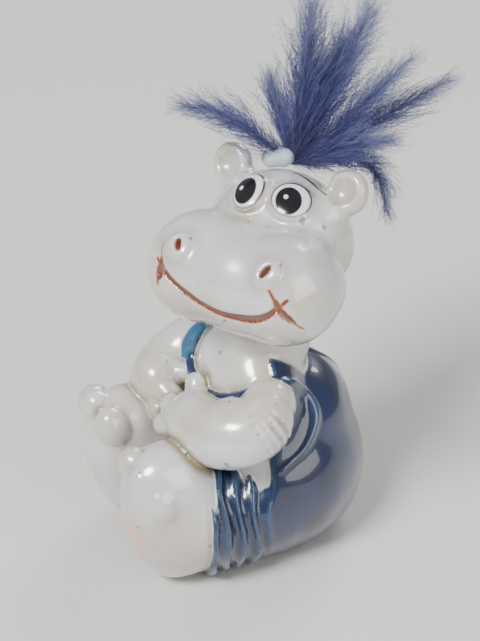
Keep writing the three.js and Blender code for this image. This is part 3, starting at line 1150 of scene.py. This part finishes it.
@dataclass(frozen=True)
class PaintedGlaze:
    """Pearl and navy glaze with hand-painted eyes, brows and mouth under one glossy coat."""

    pearl_cool: Colour = paint(206, 209, 211)
    pearl_warm: Colour = paint(196, 189, 176)
    pearl_rose: Colour = paint(196, 184, 184)
    patina: Colour = paint(132, 112, 62)
    navy: Colour = paint(18, 36, 72)
    navy_deep: Colour = paint(10, 20, 46)
    # teal is the strap's own colour, and it is also laid on the cloth's ridges as a painted highlight.
    teal: Colour = paint(42, 96, 128)
    thin_edge: Colour = paint(120, 150, 165)
    peach: Colour = paint(226, 186, 164)
    ink: Colour = paint(12, 12, 18)
    white: Colour = paint(236, 238, 238)
    nostril: Colour = paint(176, 104, 88)
    eyes: tuple[EyePaint, ...] = (
        EyePaint("eye_right", (2.75, 3.45), (-0.06, -0.1), (2.5, 3.2), (-0.3, -0.4), (1.85, 2.5), (-0.93, 0.05)),
        EyePaint("eye_left", (3.1, 3.1), (-0.06, -0.12), (2.84, 2.84), (-0.45, -0.45), (2.0, 2.4), (-0.9, 0.05)),
    )
    strokes: tuple[StrokePaint, ...] = (
        StrokePaint("smile", 0.42, 0.12, paint(190, 92, 50)),
        StrokePaint("smile", 0.24, 0.08, paint(92, 52, 34)),
        StrokePaint("dimple_right", 0.62, 0.15, paint(178, 88, 48)),
        StrokePaint("dimple_right", 0.3, 0.12, paint(98, 58, 40)),
        StrokePaint("dimple_left", 0.6, 0.15, paint(186, 92, 46)),
        StrokePaint("dimple_left", 0.3, 0.12, paint(104, 56, 38)),
        StrokePaint("brow_right", 0.16, 0.08, paint(70, 72, 78)),
        StrokePaint("brow_left", 0.26, 0.08, paint(34, 38, 54)),
    )

    def eye(self, sheet: Sheet, effects: Effects, eye: EyePaint, under: bpy.types.NodeSocket) -> bpy.types.NodeSocket:
        """Paints one eye over a colour.

        Args:
            sheet: The material's sheet.
            effects: The shared groups.
            eye: The eye's paint.
            under: The colour below.

        Returns:
            The colour with the eye on it.
        """
        local = sheet.triple(eye.attribute)
        layers = (
            ((0.0, 0.0), eye.radii, self.ink, 0.05),
            (eye.white_middle, eye.white_radii, self.white, 0.04),
            (eye.pupil_middle, eye.pupil_radii, self.ink, 0.05),
            (eye.dot_middle, (eye.dot_radius, eye.dot_radius * 1.15), self.white, 0.25),
        )
        for middle, radii, colour, softness in layers:
            mask = sheet.group(
                effects.oval, Local=local, Middle=(*middle, 0.0), Radii=(*radii, 1.0), Softness=softness
            )
            under = sheet.mix(mask, under, colour)
        return under

    def pearl(self, sheet: Sheet, effects: Effects, place: bpy.types.NodeSocket) -> bpy.types.NodeSocket:
        """Returns the colour of the pearl glaze with its clouds and patina."""
        clouds = sheet.step(sheet.noise(place, 70.0, 2.5, 0.55), 0.38, 0.66)
        rose = sheet.step(sheet.noise(place, 95.0, 2.0, 0.5), 0.5, 0.72)
        base = sheet.mix(clouds, self.pearl_cool, self.pearl_warm)
        base = sheet.mix(sheet.math("MULTIPLY", rose, 0.6), base, self.pearl_rose)
        stained = sheet.group(
            effects.grime, Place=place, Scale=160.0, Colour=base, Stain=self.patina, Hollow=sheet.number("hollow"), Amount=0.85
        )
        pads = sheet.step(sheet.number("pad"), 0.06, -0.06)
        stained = sheet.mix(sheet.math("MULTIPLY", pads, 0.9), stained, self.peach)
        return sheet.mix(sheet.step(sheet.number("nostril"), 1.25, 0.8), stained, self.nostril)

    def blue(self, sheet: Sheet, place: bpy.types.NodeSocket, garment: bpy.types.NodeSocket) -> bpy.types.NodeSocket:
        """Returns the colour of the navy glaze: paler where thin at its edges, and pale teal over convex ridges,
        partly thinner glaze and partly a painted highlight.
        """
        clouds = sheet.step(sheet.noise(place, 130.0, 3.0, 0.6), 0.35, 0.7)
        base = sheet.mix(clouds, self.navy, self.navy_deep)
        # Painted highlight: pale teal along the cloth's convex ridges, partly glaze running thin there and partly the
        # gloss catching the light.
        ridge = sheet.math("MULTIPLY", sheet.step(sheet.number("curve"), 0.35, 1.3), sheet.noise(place, 500.0, 2.0, 0.6))
        base = sheet.mix(sheet.math("MULTIPLY", ridge, 0.5), base, self.teal)
        base = sheet.mix(sheet.number("teal"), base, self.teal)
        thin = sheet.step(sheet.math("ADD", garment, sheet.math("MULTIPLY", sheet.noise(place, 900.0, 2.0, 0.6), 0.35)), 0.42, 0.1)
        return sheet.mix(sheet.math("MULTIPLY", thin, 0.7), base, self.thin_edge)

    def material(self, effects: Effects) -> bpy.types.Material:
        """Builds the material.

        Args:
            effects: The shared groups.

        Returns:
            The material.
        """
        material, sheet, shader = new_material("painted_glaze")
        place = object_place(sheet)
        garment = sheet.number("garment")
        ragged = sheet.math("MULTIPLY_ADD", sheet.noise(place, 420.0, 2.0, 0.5), 0.3, -0.15)
        dressed = sheet.step(sheet.math("ADD", garment, ragged), -0.06, 0.08)
        colour = sheet.mix(dressed, self.pearl(sheet, effects, place), self.blue(sheet, place, garment))
        for stroke in self.strokes:
            mask = sheet.group(
                effects.stroke, Stroke=sheet.triple(stroke.attribute), Half_Width=stroke.half_width, Softness=stroke.softness
            )
            colour = sheet.mix(sheet.math("MULTIPLY", mask, 0.92), colour, stroke.colour)
        for eye in self.eyes:
            colour = self.eye(sheet, effects, eye, colour)
        specks = sheet.step(sheet.noise(place, 700.0, 0.0), 0.79, 0.83)
        colour = sheet.mix(sheet.math("MULTIPLY", specks, 0.55), colour, self.navy_deep)
        waves = sheet.group(effects.swell, Place=place, Scale=260.0, Height=0.05)
        bump = sheet.add("ShaderNodeBump", {"Height": waves, "Distance": MILLIMETRE, "Strength": 1.0})
        sheet.tree.links.new(colour, shader.inputs["Base Color"])
        sheet.tree.links.new(bump.outputs[0], shader.inputs["Normal"])
        dull = sheet.math("MULTIPLY_ADD", sheet.number("hollow"), 0.2, 0.24)
        sheet.tree.links.new(dull, shader.inputs["Roughness"])
        pearly = sheet.math("MULTIPLY", sheet.math("SUBTRACT", 1.0, dressed), 0.1)
        sheet.tree.links.new(pearly, shader.inputs["Metallic"])
        shader.inputs["Coat Weight"].default_value = 1.0
        shader.inputs["Coat Roughness"].default_value = 0.035
        shader.inputs["Coat IOR"].default_value = 1.52
        return material


@dataclass(frozen=True)
class BareClay:
    """The unglazed, lightly soiled biscuit of the underside."""

    biscuit: Colour = paint(196, 184, 166)
    soil: Colour = paint(120, 104, 84)

    def material(self, effects: Effects) -> bpy.types.Material:
        """Builds the material from the shared groups and returns it."""
        material, sheet, shader = new_material("bare_clay")
        place = object_place(sheet)
        hollow = sheet.noise(place, 60.0, 3.0, 0.6)
        colour = sheet.group(
            effects.grime, Place=place, Scale=240.0, Colour=self.biscuit, Stain=self.soil, Hollow=hollow, Amount=0.7
        )
        sheet.tree.links.new(colour, shader.inputs["Base Color"])
        grain = sheet.group(effects.swell, Place=place, Scale=2500.0, Height=0.03)
        bump = sheet.add("ShaderNodeBump", {"Height": grain, "Distance": MILLIMETRE, "Strength": 1.0})
        sheet.tree.links.new(bump.outputs[0], shader.inputs["Normal"])
        shader.inputs["Roughness"].default_value = 0.9
        return material


@dataclass(frozen=True)
class DyedDown:
    """Dyed marabou: indigo at the root, darkened there as painted shade for the crowded, shadowed barbs, hazy
    grey-blue at the tips.
    """

    # Dye colour darkened as painted shade where the barbs crowd and shadow one another at the root.
    root: Colour = paint(34, 34, 88)
    middle: Colour = paint(62, 68, 128)
    tip: Colour = paint(112, 120, 158)
    quill: Colour = paint(70, 72, 110)

    def material(self) -> bpy.types.Material:
        """Builds the material and returns it."""
        material, sheet, shader = new_material("dyed_down")
        place = object_place(sheet)
        along = sheet.number("quill_share")
        out = sheet.number("barb_share")
        streak = sheet.noise(place, 380.0, 2.0, 0.6)
        # Share from the root's dye and painted shade out to the pale tips.
        root_shade_to_tip = sheet.math("ADD", along, sheet.math("MULTIPLY_ADD", out, 0.55, sheet.math("MULTIPLY_ADD", streak, 0.5, -0.3)))
        colour = sheet.mix(sheet.step(root_shade_to_tip, 0.05, 0.6), self.root, self.middle)
        colour = sheet.mix(sheet.step(root_shade_to_tip, 0.55, 1.3), colour, self.tip)
        colour = sheet.mix(sheet.number("is_quill"), colour, self.quill)
        sheet.tree.links.new(colour, shader.inputs["Base Color"])
        shader.inputs["Roughness"].default_value = 0.75
        shader.inputs["Specular IOR Level"].default_value = 0.25
        shader.inputs["Sheen Weight"].default_value = 0.25
        return material


@dataclass(frozen=True)
class SetGlue:
    """Pale, cloudy, glossy set glue."""

    body: Colour = paint(196, 208, 220)
    cloud: Colour = paint(128, 142, 160)

    def material(self, effects: Effects) -> bpy.types.Material:
        """Builds the material from the shared groups and returns it."""
        material, sheet, shader = new_material("set_glue")
        place = object_place(sheet)
        hollow = sheet.step(sheet.noise(place, 500.0, 2.0, 0.5), 0.45, 0.65)
        colour = sheet.group(
            effects.grime, Place=place, Scale=900.0, Colour=self.body, Stain=self.cloud, Hollow=hollow, Amount=0.9
        )
        sheet.tree.links.new(colour, shader.inputs["Base Color"])
        waves = sheet.group(effects.swell, Place=place, Scale=800.0, Height=0.12)
        bump = sheet.add("ShaderNodeBump", {"Height": waves, "Distance": MILLIMETRE, "Strength": 1.0})
        sheet.tree.links.new(bump.outputs[0], shader.inputs["Normal"])
        shader.inputs["Roughness"].default_value = 0.18
        shader.inputs["Transmission Weight"].default_value = 0.25
        shader.inputs["Subsurface Weight"].default_value = 0.2
        shader.inputs["Subsurface Scale"].default_value = 0.001
        return material


@dataclass(frozen=True)
class PaleFloor:
    """A plain pale matt floor."""

    colour: Colour = paint(205, 204, 201)

    def material(self) -> bpy.types.Material:
        """Builds the material and returns it."""
        material, sheet, shader = new_material("pale_floor")
        cloud = sheet.noise(object_place(sheet), 6.0, 2.0, 0.5)
        tone = sheet.mix(sheet.math("MULTIPLY", cloud, 0.25), self.colour, tuple(part * 0.9 for part in self.colour))
        sheet.tree.links.new(tone, shader.inputs["Base Color"])
        shader.inputs["Roughness"].default_value = 0.85
        shader.inputs["Specular IOR Level"].default_value = 0.2
        return material


# The dressed pieces


@dataclass
class Markings:
    """Works out where the paint and the patina lie on the figure."""

    figure: Figure
    hollow_reach: float = 1.7
    curve_reach: float = 0.5
    brows: tuple[tuple[Triple, ...], ...] = (
        ((-8.0, -0.9, 10.6), (-6.8, -0.4, 11.2), (-5.0, -0.2, 11.7), (-3.4, -0.2, 12.0)),
        ((-0.4, 0.25, 12.5), (2.33, 0.21, 12.3), (4.6, 0.11, 11.7), (6.3, -0.3, 10.9)),
    )
    pad_middles: tuple[tuple[float, float], ...] = ((-9.2, 11.5), (9.2, 11.5))
    pad_radii: tuple[float, float] = (3.6, 3.8)

    def stroke(
        self, points: np.ndarray, outward: np.ndarray, way: Sequence[Triple], profile: Sequence[float]
    ) -> np.ndarray:
        """Gives each vertex its share along, distance across and width profile of a stroke.

        Args:
            points: The vertices in the head's axes.
            outward: Their normals in the head's axes.
            way: Points on the stroke.
            profile: The stroke's relative width at even steps.

        Returns:
            The three numbers, a row a vertex.
        """
        line = self.figure.head.strand(self.figure.head.bare(), way, (0.1, 0.1))
        low, high = line.reach()
        near = ((points > low - 2.5) & (points < high + 2.5)).all(axis=1)
        found = np.tile(np.array([0.0, 5.0, -1.0]), (len(points), 1))
        place = line.along(points[near])
        on, slope = line.at(place)
        side = np.cross(slope[:, :3], outward[near])
        side /= np.linalg.norm(side, axis=1)[:, None] + 1e-9
        gap = points[near] - on[:, :3]
        share = place / (line.count - 1)
        width = np.interp(share, np.linspace(0, 1, len(profile)), profile)
        width = np.where(np.linalg.norm(gap, axis=1) > 2.2, -1.0, width)
        found[near] = np.stack([share, (gap * side).sum(axis=1), width], axis=1)
        return found

    def numbers(self, points: np.ndarray) -> dict[str, np.ndarray]:
        """Works out everything the material reads.

        Args:
            points: The figure's vertices in millimetres.

        Returns:
            The numbers or vectors by attribute name.
        """
        figure = self.figure
        slope = figure.slope(points)
        steep = np.linalg.norm(slope, axis=1) + 1e-9
        outward = slope / steep[:, None]
        skin, cloth = figure.layers(points)
        found = {"garment": np.clip(skin - cloth, -3.0, 3.0)}
        above = figure.depth(points + outward * self.hollow_reach) / (steep * self.hollow_reach)
        found["hollow"] = np.clip(1.0 - above, 0.0, 1.0)
        bend = np.zeros(len(points))
        for axis in range(3):
            shift = np.eye(3)[axis] * self.curve_reach
            bend += figure.depth(points + shift) + figure.depth(points - shift)
        found["curve"] = np.clip(bend / self.curve_reach**2 / steep, -3.0, 3.0)
        local = figure.placed_head.inward(points)
        turned = outward @ figure.placed_head.turn
        for eye, name in enumerate(("eye_right", "eye_left")):
            middle, axes = figure.head.eye_axes(eye)
            found[name] = (local - middle) @ axes
        head = figure.head
        found["smile"] = self.stroke(local, turned, head.smile, (0.7, 0.8, 0.8, 0.9, 1.1, 1.3, 1.25, 1.0, 0.8))
        found["dimple_right"] = self.stroke(local, turned, head.right_dimple, (0.1, 0.45, 0.8, 1.2, 0.7))
        found["dimple_left"] = self.stroke(local, turned, head.left_dimple, (0.5, 0.9, 1.0, 0.9, 0.3))
        found["brow_right"] = self.stroke(local, turned, self.brows[0], (0.2, 1.0, 1.0, 0.2))
        found["brow_left"] = self.stroke(local, turned, self.brows[1], (0.2, 0.6, 1.1, 1.3, 0.5))
        found["nostril"] = self.nostril(local)
        found["pad"] = self.pad(points)
        found["teal"] = np.clip(1.0 - Limb(figure.torso.right_strap).depth(points) / 0.8, 0.0, 1.0)
        return found

    def nostril(self, local: np.ndarray) -> np.ndarray:
        """Returns how far each vertex is from the nearer nostril slit, 1 at its rim."""
        slits = [Pillow(at, (0.5, 2.5, 1.15), lean=-28, roll=side * 25) for at, side in zip(self.figure.head.nostrils, (-1, 1))]
        return np.minimum(*[np.linalg.norm((local - slit.centre) @ slit.turn / slit.radii, axis=1) for slit in slits])

    def pad(self, points: np.ndarray) -> np.ndarray:
        """Returns a field that is below nought on the painted pads of the soles."""
        rings = []
        for across, up in self.pad_middles:
            offset = np.stack([(points[:, 0] - across) / self.pad_radii[0], (points[:, 2] - up) / self.pad_radii[1]], axis=1)
            rings.append(np.linalg.norm(offset, axis=1) - 1.0)
        front = np.where(points[:, 1] < -19.0, 0.0, 2.0)
        return np.minimum(*rings) + front


def build_figure(effects: Effects) -> bpy.types.Object:
    """Makes the glazed figure.

    Args:
        effects: The shared shader groups.

    Returns:
        The finished piece.
    """
    figure = Figure()
    vertices, quads = Skinner().skin(figure)
    made = new_object("glazed_hippo", vertices, quads)
    for name, values in Markings(figure).numbers(vertices).items():
        put_attribute(made, name, values)
    made.data.materials.append(PaintedGlaze().material(effects))
    made.data.materials.append(BareClay().material(effects))
    under = vertices[quads][:, :, 2].max(axis=1) < 0.03
    made.data.polygons.foreach_set("material_index", under.astype(np.int32))
    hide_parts("hippo_figure")
    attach(made, BODY)
    return made


def build_glue(effects: Effects) -> bpy.types.Object:
    """Makes the drop of set glue.

    Args:
        effects: The shared shader groups.

    Returns:
        The finished piece.
    """
    lump = Clay().join(Pillow((-4.3, 5.9, 64.0), (1.7, 1.9, 1.15), 2.6))
    lump.join(Pillow((-3.6, 7.4, 64.1), (1.5, 1.5, 1.2), 2.4, 20), 0.5)
    lump.join(Pillow((-5.0, 6.9, 64.5), (0.9, 1.0, 0.8), 2.4), 0.4)
    vertices, quads = Skinner(pitch=0.13).skin(lump)
    made = new_object("set_glue_drop", vertices, quads)
    made.data.materials.append(SetGlue().material(effects))
    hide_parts("glue_drop")
    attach(made, BODY)
    return made


@dataclass(frozen=True)
class Plume:
    """One marabou plume on a quill that bends from the root over a middle to its tip."""

    name: str
    middle: Triple
    tip: Triple
    barbs: int
    barb_length: float
    seed: int
    root: Triple = (-2.8, 8.0, 63.2)

    def quill(self) -> bpy.types.Object:
        """Makes the quill's line as a curve object in metres."""
        line = through(np.array([self.root, self.middle, self.tip]), 24) * MILLIMETRE
        curve = bpy.data.curves.new(self.name, "CURVE")
        curve.dimensions = "3D"
        spline = curve.splines.new("POLY")
        spline.points.add(len(line) - 1)
        spline.points.foreach_set("co", np.concatenate([line, np.ones((len(line), 1))], axis=1).ravel())
        made = bpy.data.objects.new(self.name, curve)
        bpy.context.scene.collection.objects.link(made)
        return made


class PlumeTree:
    """The Geometry Nodes tree that grows down along a quill."""

    inputs = {
        "Barbs": "NodeSocketInt",
        "Barb Length": "NodeSocketFloat",
        "Barb Radius": "NodeSocketFloat",
        "Barbule Length": "NodeSocketFloat",
        "Quill Radius": "NodeSocketFloat",
        "Flutter": "NodeSocketFloat",
        "Seed": "NodeSocketInt",
        "Down": "NodeSocketMaterial",
    }

    def __init__(self) -> None:
        """Builds the tree."""
        self.tree = bpy.data.node_groups.new("marabou_plume", "GeometryNodeTree")
        self.tree.interface.new_socket("Geometry", in_out="INPUT", socket_type="NodeSocketGeometry")
        self.sockets = {
            label: self.tree.interface.new_socket(label, in_out="INPUT", socket_type=kind).identifier
            for label, kind in self.inputs.items()
        }
        self.tree.interface.new_socket("Geometry", in_out="OUTPUT", socket_type="NodeSocketGeometry")
        self.sheet = Sheet(self.tree)
        self.given = self.sheet.add("NodeGroupInput").outputs
        result = self.sheet.add("NodeGroupOutput")
        self.tree.links.new(self.plume(), result.inputs[0])

    def random(self, low: float, high: float, salt: int) -> bpy.types.NodeSocket:
        """Returns a random number for each element, fixed by the seed."""
        seed = self.sheet.math("ADD", self.given["Seed"], salt)
        return self.sheet.add("FunctionNodeRandomValue", {"Min": low, "Max": high, "Seed": seed}).outputs[1]

    def stored(self, geometry: bpy.types.NodeSocket, name: str, value: object, domain: str = "POINT") -> bpy.types.NodeSocket:
        """Stores a number on the geometry and returns the geometry."""
        wires = {"Geometry": geometry, "Name": name, "Value": value}
        return self.sheet.add("GeometryNodeStoreNamedAttribute", wires, domain=domain).outputs[0]

    def turned(self, tangent: object, spin: object, tilt: object) -> bpy.types.NodeSocket:
        """Returns a rotation along a tangent, spun about it and then tilted from it."""
        sheet = self.sheet
        along = sheet.add("FunctionNodeAlignRotationToVector", {"Vector": tangent}, axis="Z").outputs[0]
        for axis, angle in (((0.0, 0.0, 1.0), spin), ((0.0, 1.0, 0.0), tilt)):
            by = sheet.add("FunctionNodeAxisAngleToRotation", {"Axis": axis, "Angle": angle}).outputs[0]
            along = sheet.add(
                "FunctionNodeRotateRotation", {"Rotation": along, "Rotate By": by}, rotation_space="LOCAL"
            ).outputs[0]
        return along

    def tube(self, curve: object, radius: object, thin: float) -> bpy.types.NodeSocket:
        """Returns a three-sided tapering tube along a curve."""
        sheet = self.sheet
        ring = sheet.add("GeometryNodeCurvePrimitiveCircle", {"Resolution": 3, "Radius": radius}).outputs[0]
        share = sheet.add("GeometryNodeSplineParameter").outputs[0]
        taper = sheet.math("SUBTRACT", 1.0, sheet.math("MULTIPLY", share, thin))
        wires = {"Curve": curve, "Profile Curve": ring, "Scale": taper, "Fill Caps": True}
        return sheet.add("GeometryNodeCurveToMesh", wires).outputs[0]

    def barb(self) -> bpy.types.NodeSocket:
        """Returns one barb, a hair with fine barbules all round it."""
        sheet = self.sheet
        reach = self.given["Barb Length"]
        ends = {
            label: sheet.vector("SCALE", way, out=0) for label, way in (("Middle", (0.36, 0.0, 0.3)), ("End", (0.42, 0.0, 1.0)))
        }
        for socket in ends.values():
            self.tree.links.new(reach, socket.node.inputs["Scale"])
        line = sheet.add("GeometryNodeCurveQuadraticBezier", {"Resolution": 7, "Start": (0.0, 0.0, 0.0), **ends}).outputs[0]
        share = sheet.add("GeometryNodeSplineParameter").outputs[0]
        line = self.stored(line, "barb_share", share)
        hair = self.tube(line, self.given["Barb Radius"], 0.75)
        knots = sheet.add("GeometryNodeResampleCurve", {"Curve": line, "Count": 18}).outputs[0]
        spike = sheet.add(
            "GeometryNodeMeshCone",
            {
                "Vertices": 3,
                "Radius Top": 0.0,
                "Radius Bottom": sheet.math("MULTIPLY", self.given["Barb Radius"], 0.62),
                "Depth": self.given["Barbule Length"],
            },
        ).outputs[0]
        tangent = sheet.add("GeometryNodeInputTangent").outputs[0]
        wires = {
            "Points": knots,
            "Instance": spike,
            "Rotation": self.turned(tangent, self.random(0.0, 6.283, 11), self.random(0.6, 1.2, 12)),
            "Scale": self.random(0.5, 1.2, 13),
        }
        fluff = sheet.add("GeometryNodeInstanceOnPoints", wires).outputs[0]
        fluff = sheet.add("GeometryNodeRealizeInstances", {"Geometry": fluff}).outputs[0]
        both = sheet.add("GeometryNodeJoinGeometry")
        self.tree.links.new(hair, both.inputs[0])
        self.tree.links.new(fluff, both.inputs[0])
        return both.outputs[0]

    def fluttered(self, geometry: bpy.types.NodeSocket) -> bpy.types.NodeSocket:
        """Blows the barbs out of line, most at their tips, and returns the geometry."""
        sheet = self.sheet
        place = sheet.add("GeometryNodeInputPosition").outputs[0]
        shares = [
            sheet.add("GeometryNodeInputNamedAttribute", {"Name": name}).outputs[0] for name in ("barb_share", "barb_chance")
        ]
        offset = sheet.vector("SCALE", (0.006, 0.004, 0.005))
        self.tree.links.new(shares[1], offset.node.inputs["Scale"])
        moved = sheet.vector("ADD", place, offset)
        total = None
        for scale, size in ((110.0, 1.0), (420.0, 0.35)):
            wires = {"Vector": moved, "Scale": scale, "Detail": 1.0}
            cloud = sheet.add("ShaderNodeTexNoise", wires).outputs[1]
            centred = sheet.vector("SUBTRACT", cloud, (0.5, 0.5, 0.5))
            sized = sheet.vector("MULTIPLY", centred, (size, size, size))
            total = sized if total is None else sheet.vector("ADD", total, sized)
        strength = sheet.math("MULTIPLY", self.given["Flutter"], sheet.math("ADD", sheet.math("POWER", shares[0], 1.2), 0.05))
        sway = sheet.vector("SCALE", total)
        self.tree.links.new(strength, sway.node.inputs["Scale"])
        return sheet.add("GeometryNodeSetPosition", {"Geometry": geometry, "Offset": sway}).outputs[0]

    def plume(self) -> bpy.types.NodeSocket:
        """Returns the whole plume."""
        sheet = self.sheet
        share = sheet.add("GeometryNodeSplineParameter").outputs[0]
        line = self.stored(self.given["Geometry"], "quill_share", share)
        grown = sheet.add("GeometryNodeCurveToPoints", {"Curve": line, "Count": self.given["Barbs"]}, mode="COUNT")
        along = sheet.add("GeometryNodeInputNamedAttribute", {"Name": "quill_share"}).outputs[0]
        bulge = sheet.math("SINE", sheet.math("MULTIPLY", sheet.math("POWER", along, 0.7), math.pi))
        length = sheet.math("MULTIPLY", sheet.math("MULTIPLY_ADD", bulge, 0.6, 0.42), self.random(0.5, 1.15, 3))
        wires = {
            "Points": grown.outputs["Points"],
            "Instance": self.barb(),
            "Rotation": self.turned(grown.outputs["Tangent"], self.random(0.0, 6.283, 1), self.random(-0.3, 0.22, 2)),
            "Scale": length,
        }
        down = sheet.add("GeometryNodeInstanceOnPoints", wires).outputs[0]
        down = self.stored(down, "barb_chance", self.random(-1.0, 1.0, 4), "INSTANCE")
        down = sheet.add("GeometryNodeRealizeInstances", {"Geometry": down}).outputs[0]
        down = self.fluttered(down)
        quill = self.stored(self.tube(line, self.given["Quill Radius"], 0.85), "is_quill", 1.0)
        both = sheet.add("GeometryNodeJoinGeometry")
        self.tree.links.new(down, both.inputs[0])
        self.tree.links.new(quill, both.inputs[0])
        whole = sheet.add("GeometryNodeRealizeInstances", {"Geometry": both.outputs[0]}).outputs[0]
        return sheet.add("GeometryNodeSetMaterial", {"Geometry": whole, "Material": self.given["Down"]}).outputs[0]


@dataclass(frozen=True)
class Tuft:
    """The tuft of plumes."""

    barb_radius: float = 0.045
    barbule_length: float = 1.1
    quill_radius: float = 0.2
    flutter: float = 6.0
    plumes: tuple[Plume, ...] = (
        Plume("crown", (-4.8, 11.2, 75.3), (-5.8, 12.9, 87.1), 900, 8.0, 1),
        Plume("crown_back", (-3.7, 16.0, 74.6), (-5.4, 22.4, 84.8), 900, 8.0, 2),
        Plume("between", (-7.5, 15.3, 70.7), (-10.4, 19.9, 77.7), 700, 7.0, 3),
        Plume("back_high", (0.0, 18.6, 71.7), (1.5, 26.0, 78.8), 700, 7.0, 4),
        Plume("back", (-1.8, 21.6, 67.8), (0.5, 33.1, 73.4), 700, 7.0, 5),
        Plume("left", (2.8, 14.4, 67.4), (7.4, 20.2, 69.0), 600, 6.0, 6),
        Plume("forward", (-9.3, 0.6, 70.0), (-12.1, -5.9, 71.9), 600, 6.0, 7),
        Plume("right", (-9.6, 9.6, 67.8), (-13.4, 9.6, 72.4), 500, 6.0, 8),
        Plume("nape", (-1.5, 21.0, 60.6), (2.4, 22.3, 53.6), 600, 5.0, 9),
    )

    def build(self) -> list[bpy.types.Object]:
        """Makes every plume and returns the finished pieces."""
        tree = PlumeTree()
        down = DyedDown().material()
        return [self.grown(plume, tree, down) for plume in self.plumes]

    def grown(self, plume: Plume, tree: PlumeTree, down: bpy.types.Material) -> bpy.types.Object:
        """Grows one plume.

        Args:
            plume: Its quill and sizes.
            tree: The Geometry Nodes tree.
            down: The down's material.

        Returns:
            The finished piece.
        """
        quill = plume.quill()
        modifier = quill.modifiers.new("down", "NODES")
        modifier.node_group = tree.tree
        sizes = {
            "Barbs": plume.barbs,
            "Barb Length": plume.barb_length * MILLIMETRE,
            "Barb Radius": self.barb_radius * MILLIMETRE,
            "Barbule Length": self.barbule_length * MILLIMETRE,
            "Quill Radius": self.quill_radius * MILLIMETRE,
            "Flutter": self.flutter * MILLIMETRE,
            "Seed": plume.seed,
            "Down": down,
        }
        for label, value in sizes.items():
            modifier[tree.sockets[label]] = value
        evaluated = quill.evaluated_get(bpy.context.evaluated_depsgraph_get())
        mesh = bpy.data.meshes.new_from_object(evaluated)
        made = bpy.data.objects.new(f"marabou_{plume.name}", mesh)
        bpy.context.scene.collection.objects.link(made)
        quill.modifiers.remove(modifier)
        bpy.data.objects.remove(quill)
        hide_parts(f"plume_{plume.name}")
        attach(made, BODY)
        return made


# The stage


@dataclass(frozen=True)
class Lamp:
    """A soft panel of light that faces the figure."""

    name: str
    place: Triple
    size: tuple[float, float]
    power: float
    colour: Colour = (1.0, 1.0, 1.0)
    target: Triple = (0.0, 0.0, 0.035)

    def build(self) -> None:
        """Hangs the lamp."""
        light = bpy.data.lights.new(self.name, "AREA")
        light.shape = "RECTANGLE"
        light.size, light.size_y = self.size
        light.energy = self.power
        light.color = self.colour
        lamp = bpy.data.objects.new(self.name, light)
        way = Vector(self.target) - Vector(self.place)
        lamp.matrix_world = Matrix.Translation(self.place) @ way.to_track_quat("-Z", "Y").to_matrix().to_4x4()
        bpy.context.scene.collection.objects.link(lamp)


@dataclass(frozen=True)
class Studio:
    """Floor, lamps, surroundings and camera."""

    camera_place: Triple = (0.1942, -0.084682, 0.176253)
    camera_ahead: Triple = (-0.772, 0.327695, -0.544639)
    camera_right: Triple = (0.403721, 0.914619, -0.021954)
    lens: float = 89.86
    floor_size: float = 6.0
    surround: float = 0.32
    lamps: tuple[Lamp, ...] = (
        Lamp("key_panel", (0.25, -0.55, 0.75), (0.35, 0.25), 14.0),
        Lamp("fill_panel", (0.9, 0.35, 0.5), (0.8, 0.8), 6.0),
        Lamp("rear_panel", (-0.6, 0.7, 0.7), (0.6, 0.5), 8.0),
    )

    def build(self) -> None:
        """Sets the stage."""
        self.lay_floor()
        self.place_camera()
        for lamp in self.lamps:
            lamp.build()
        world = bpy.data.worlds.new("studio")
        world.use_nodes = True
        background = world.node_tree.nodes["Background"]
        background.inputs["Color"].default_value = (self.surround, self.surround, self.surround * 1.02, 1.0)
        background.inputs["Strength"].default_value = 1.0
        bpy.context.scene.world = world

    def lay_floor(self) -> None:
        """Lays the floor under the figure."""
        half = self.floor_size / MILLIMETRE / 2
        corners = np.array([(-half, -half, 0.0), (half, -half, 0.0), (half, half, 0.0), (-half, half, 0.0)])
        floor = new_object("floor", corners, np.array([[0, 1, 2, 3]]))
        floor.data.materials.append(PaleFloor().material())
        floor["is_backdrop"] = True

    def place_camera(self) -> None:
        """Puts the camera where the photograph was taken from."""
        lens = bpy.data.cameras.new("camera")
        lens.lens = self.lens
        lens.clip_start, lens.clip_end = 0.01, 20.0
        camera = bpy.data.objects.new("camera", lens)
        back = -Vector(self.camera_ahead).normalized()
        right = Vector(self.camera_right).normalized()
        up = back.cross(right)
        turn = Matrix((right, up, back)).transposed().to_4x4()
        camera.matrix_world = Matrix.Translation(self.camera_place) @ turn
        bpy.context.scene.collection.objects.link(camera)
        bpy.context.scene.camera = camera


def report(piece: bpy.types.Object) -> None:
    """Logs a finished piece and its face count."""
    LOG.info("%s: %d faces", piece.name, len(piece.data.polygons))


def main() -> None:
    """Builds the pieces in order."""
    logging.basicConfig(level=logging.INFO, format="%(name)s %(message)s")
    Studio().build()
    effects = Effects()
    report(build_figure(effects))
    report(build_glue(effects))
    for plume in Tuft().build():
        report(plume)
    boxes = {"cad": CAD_BOX, "visual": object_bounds()}
    json.dumps({name: [list(corner) for corner in box] for name, box in boxes.items()})


if __name__ == "__main__":
    main()
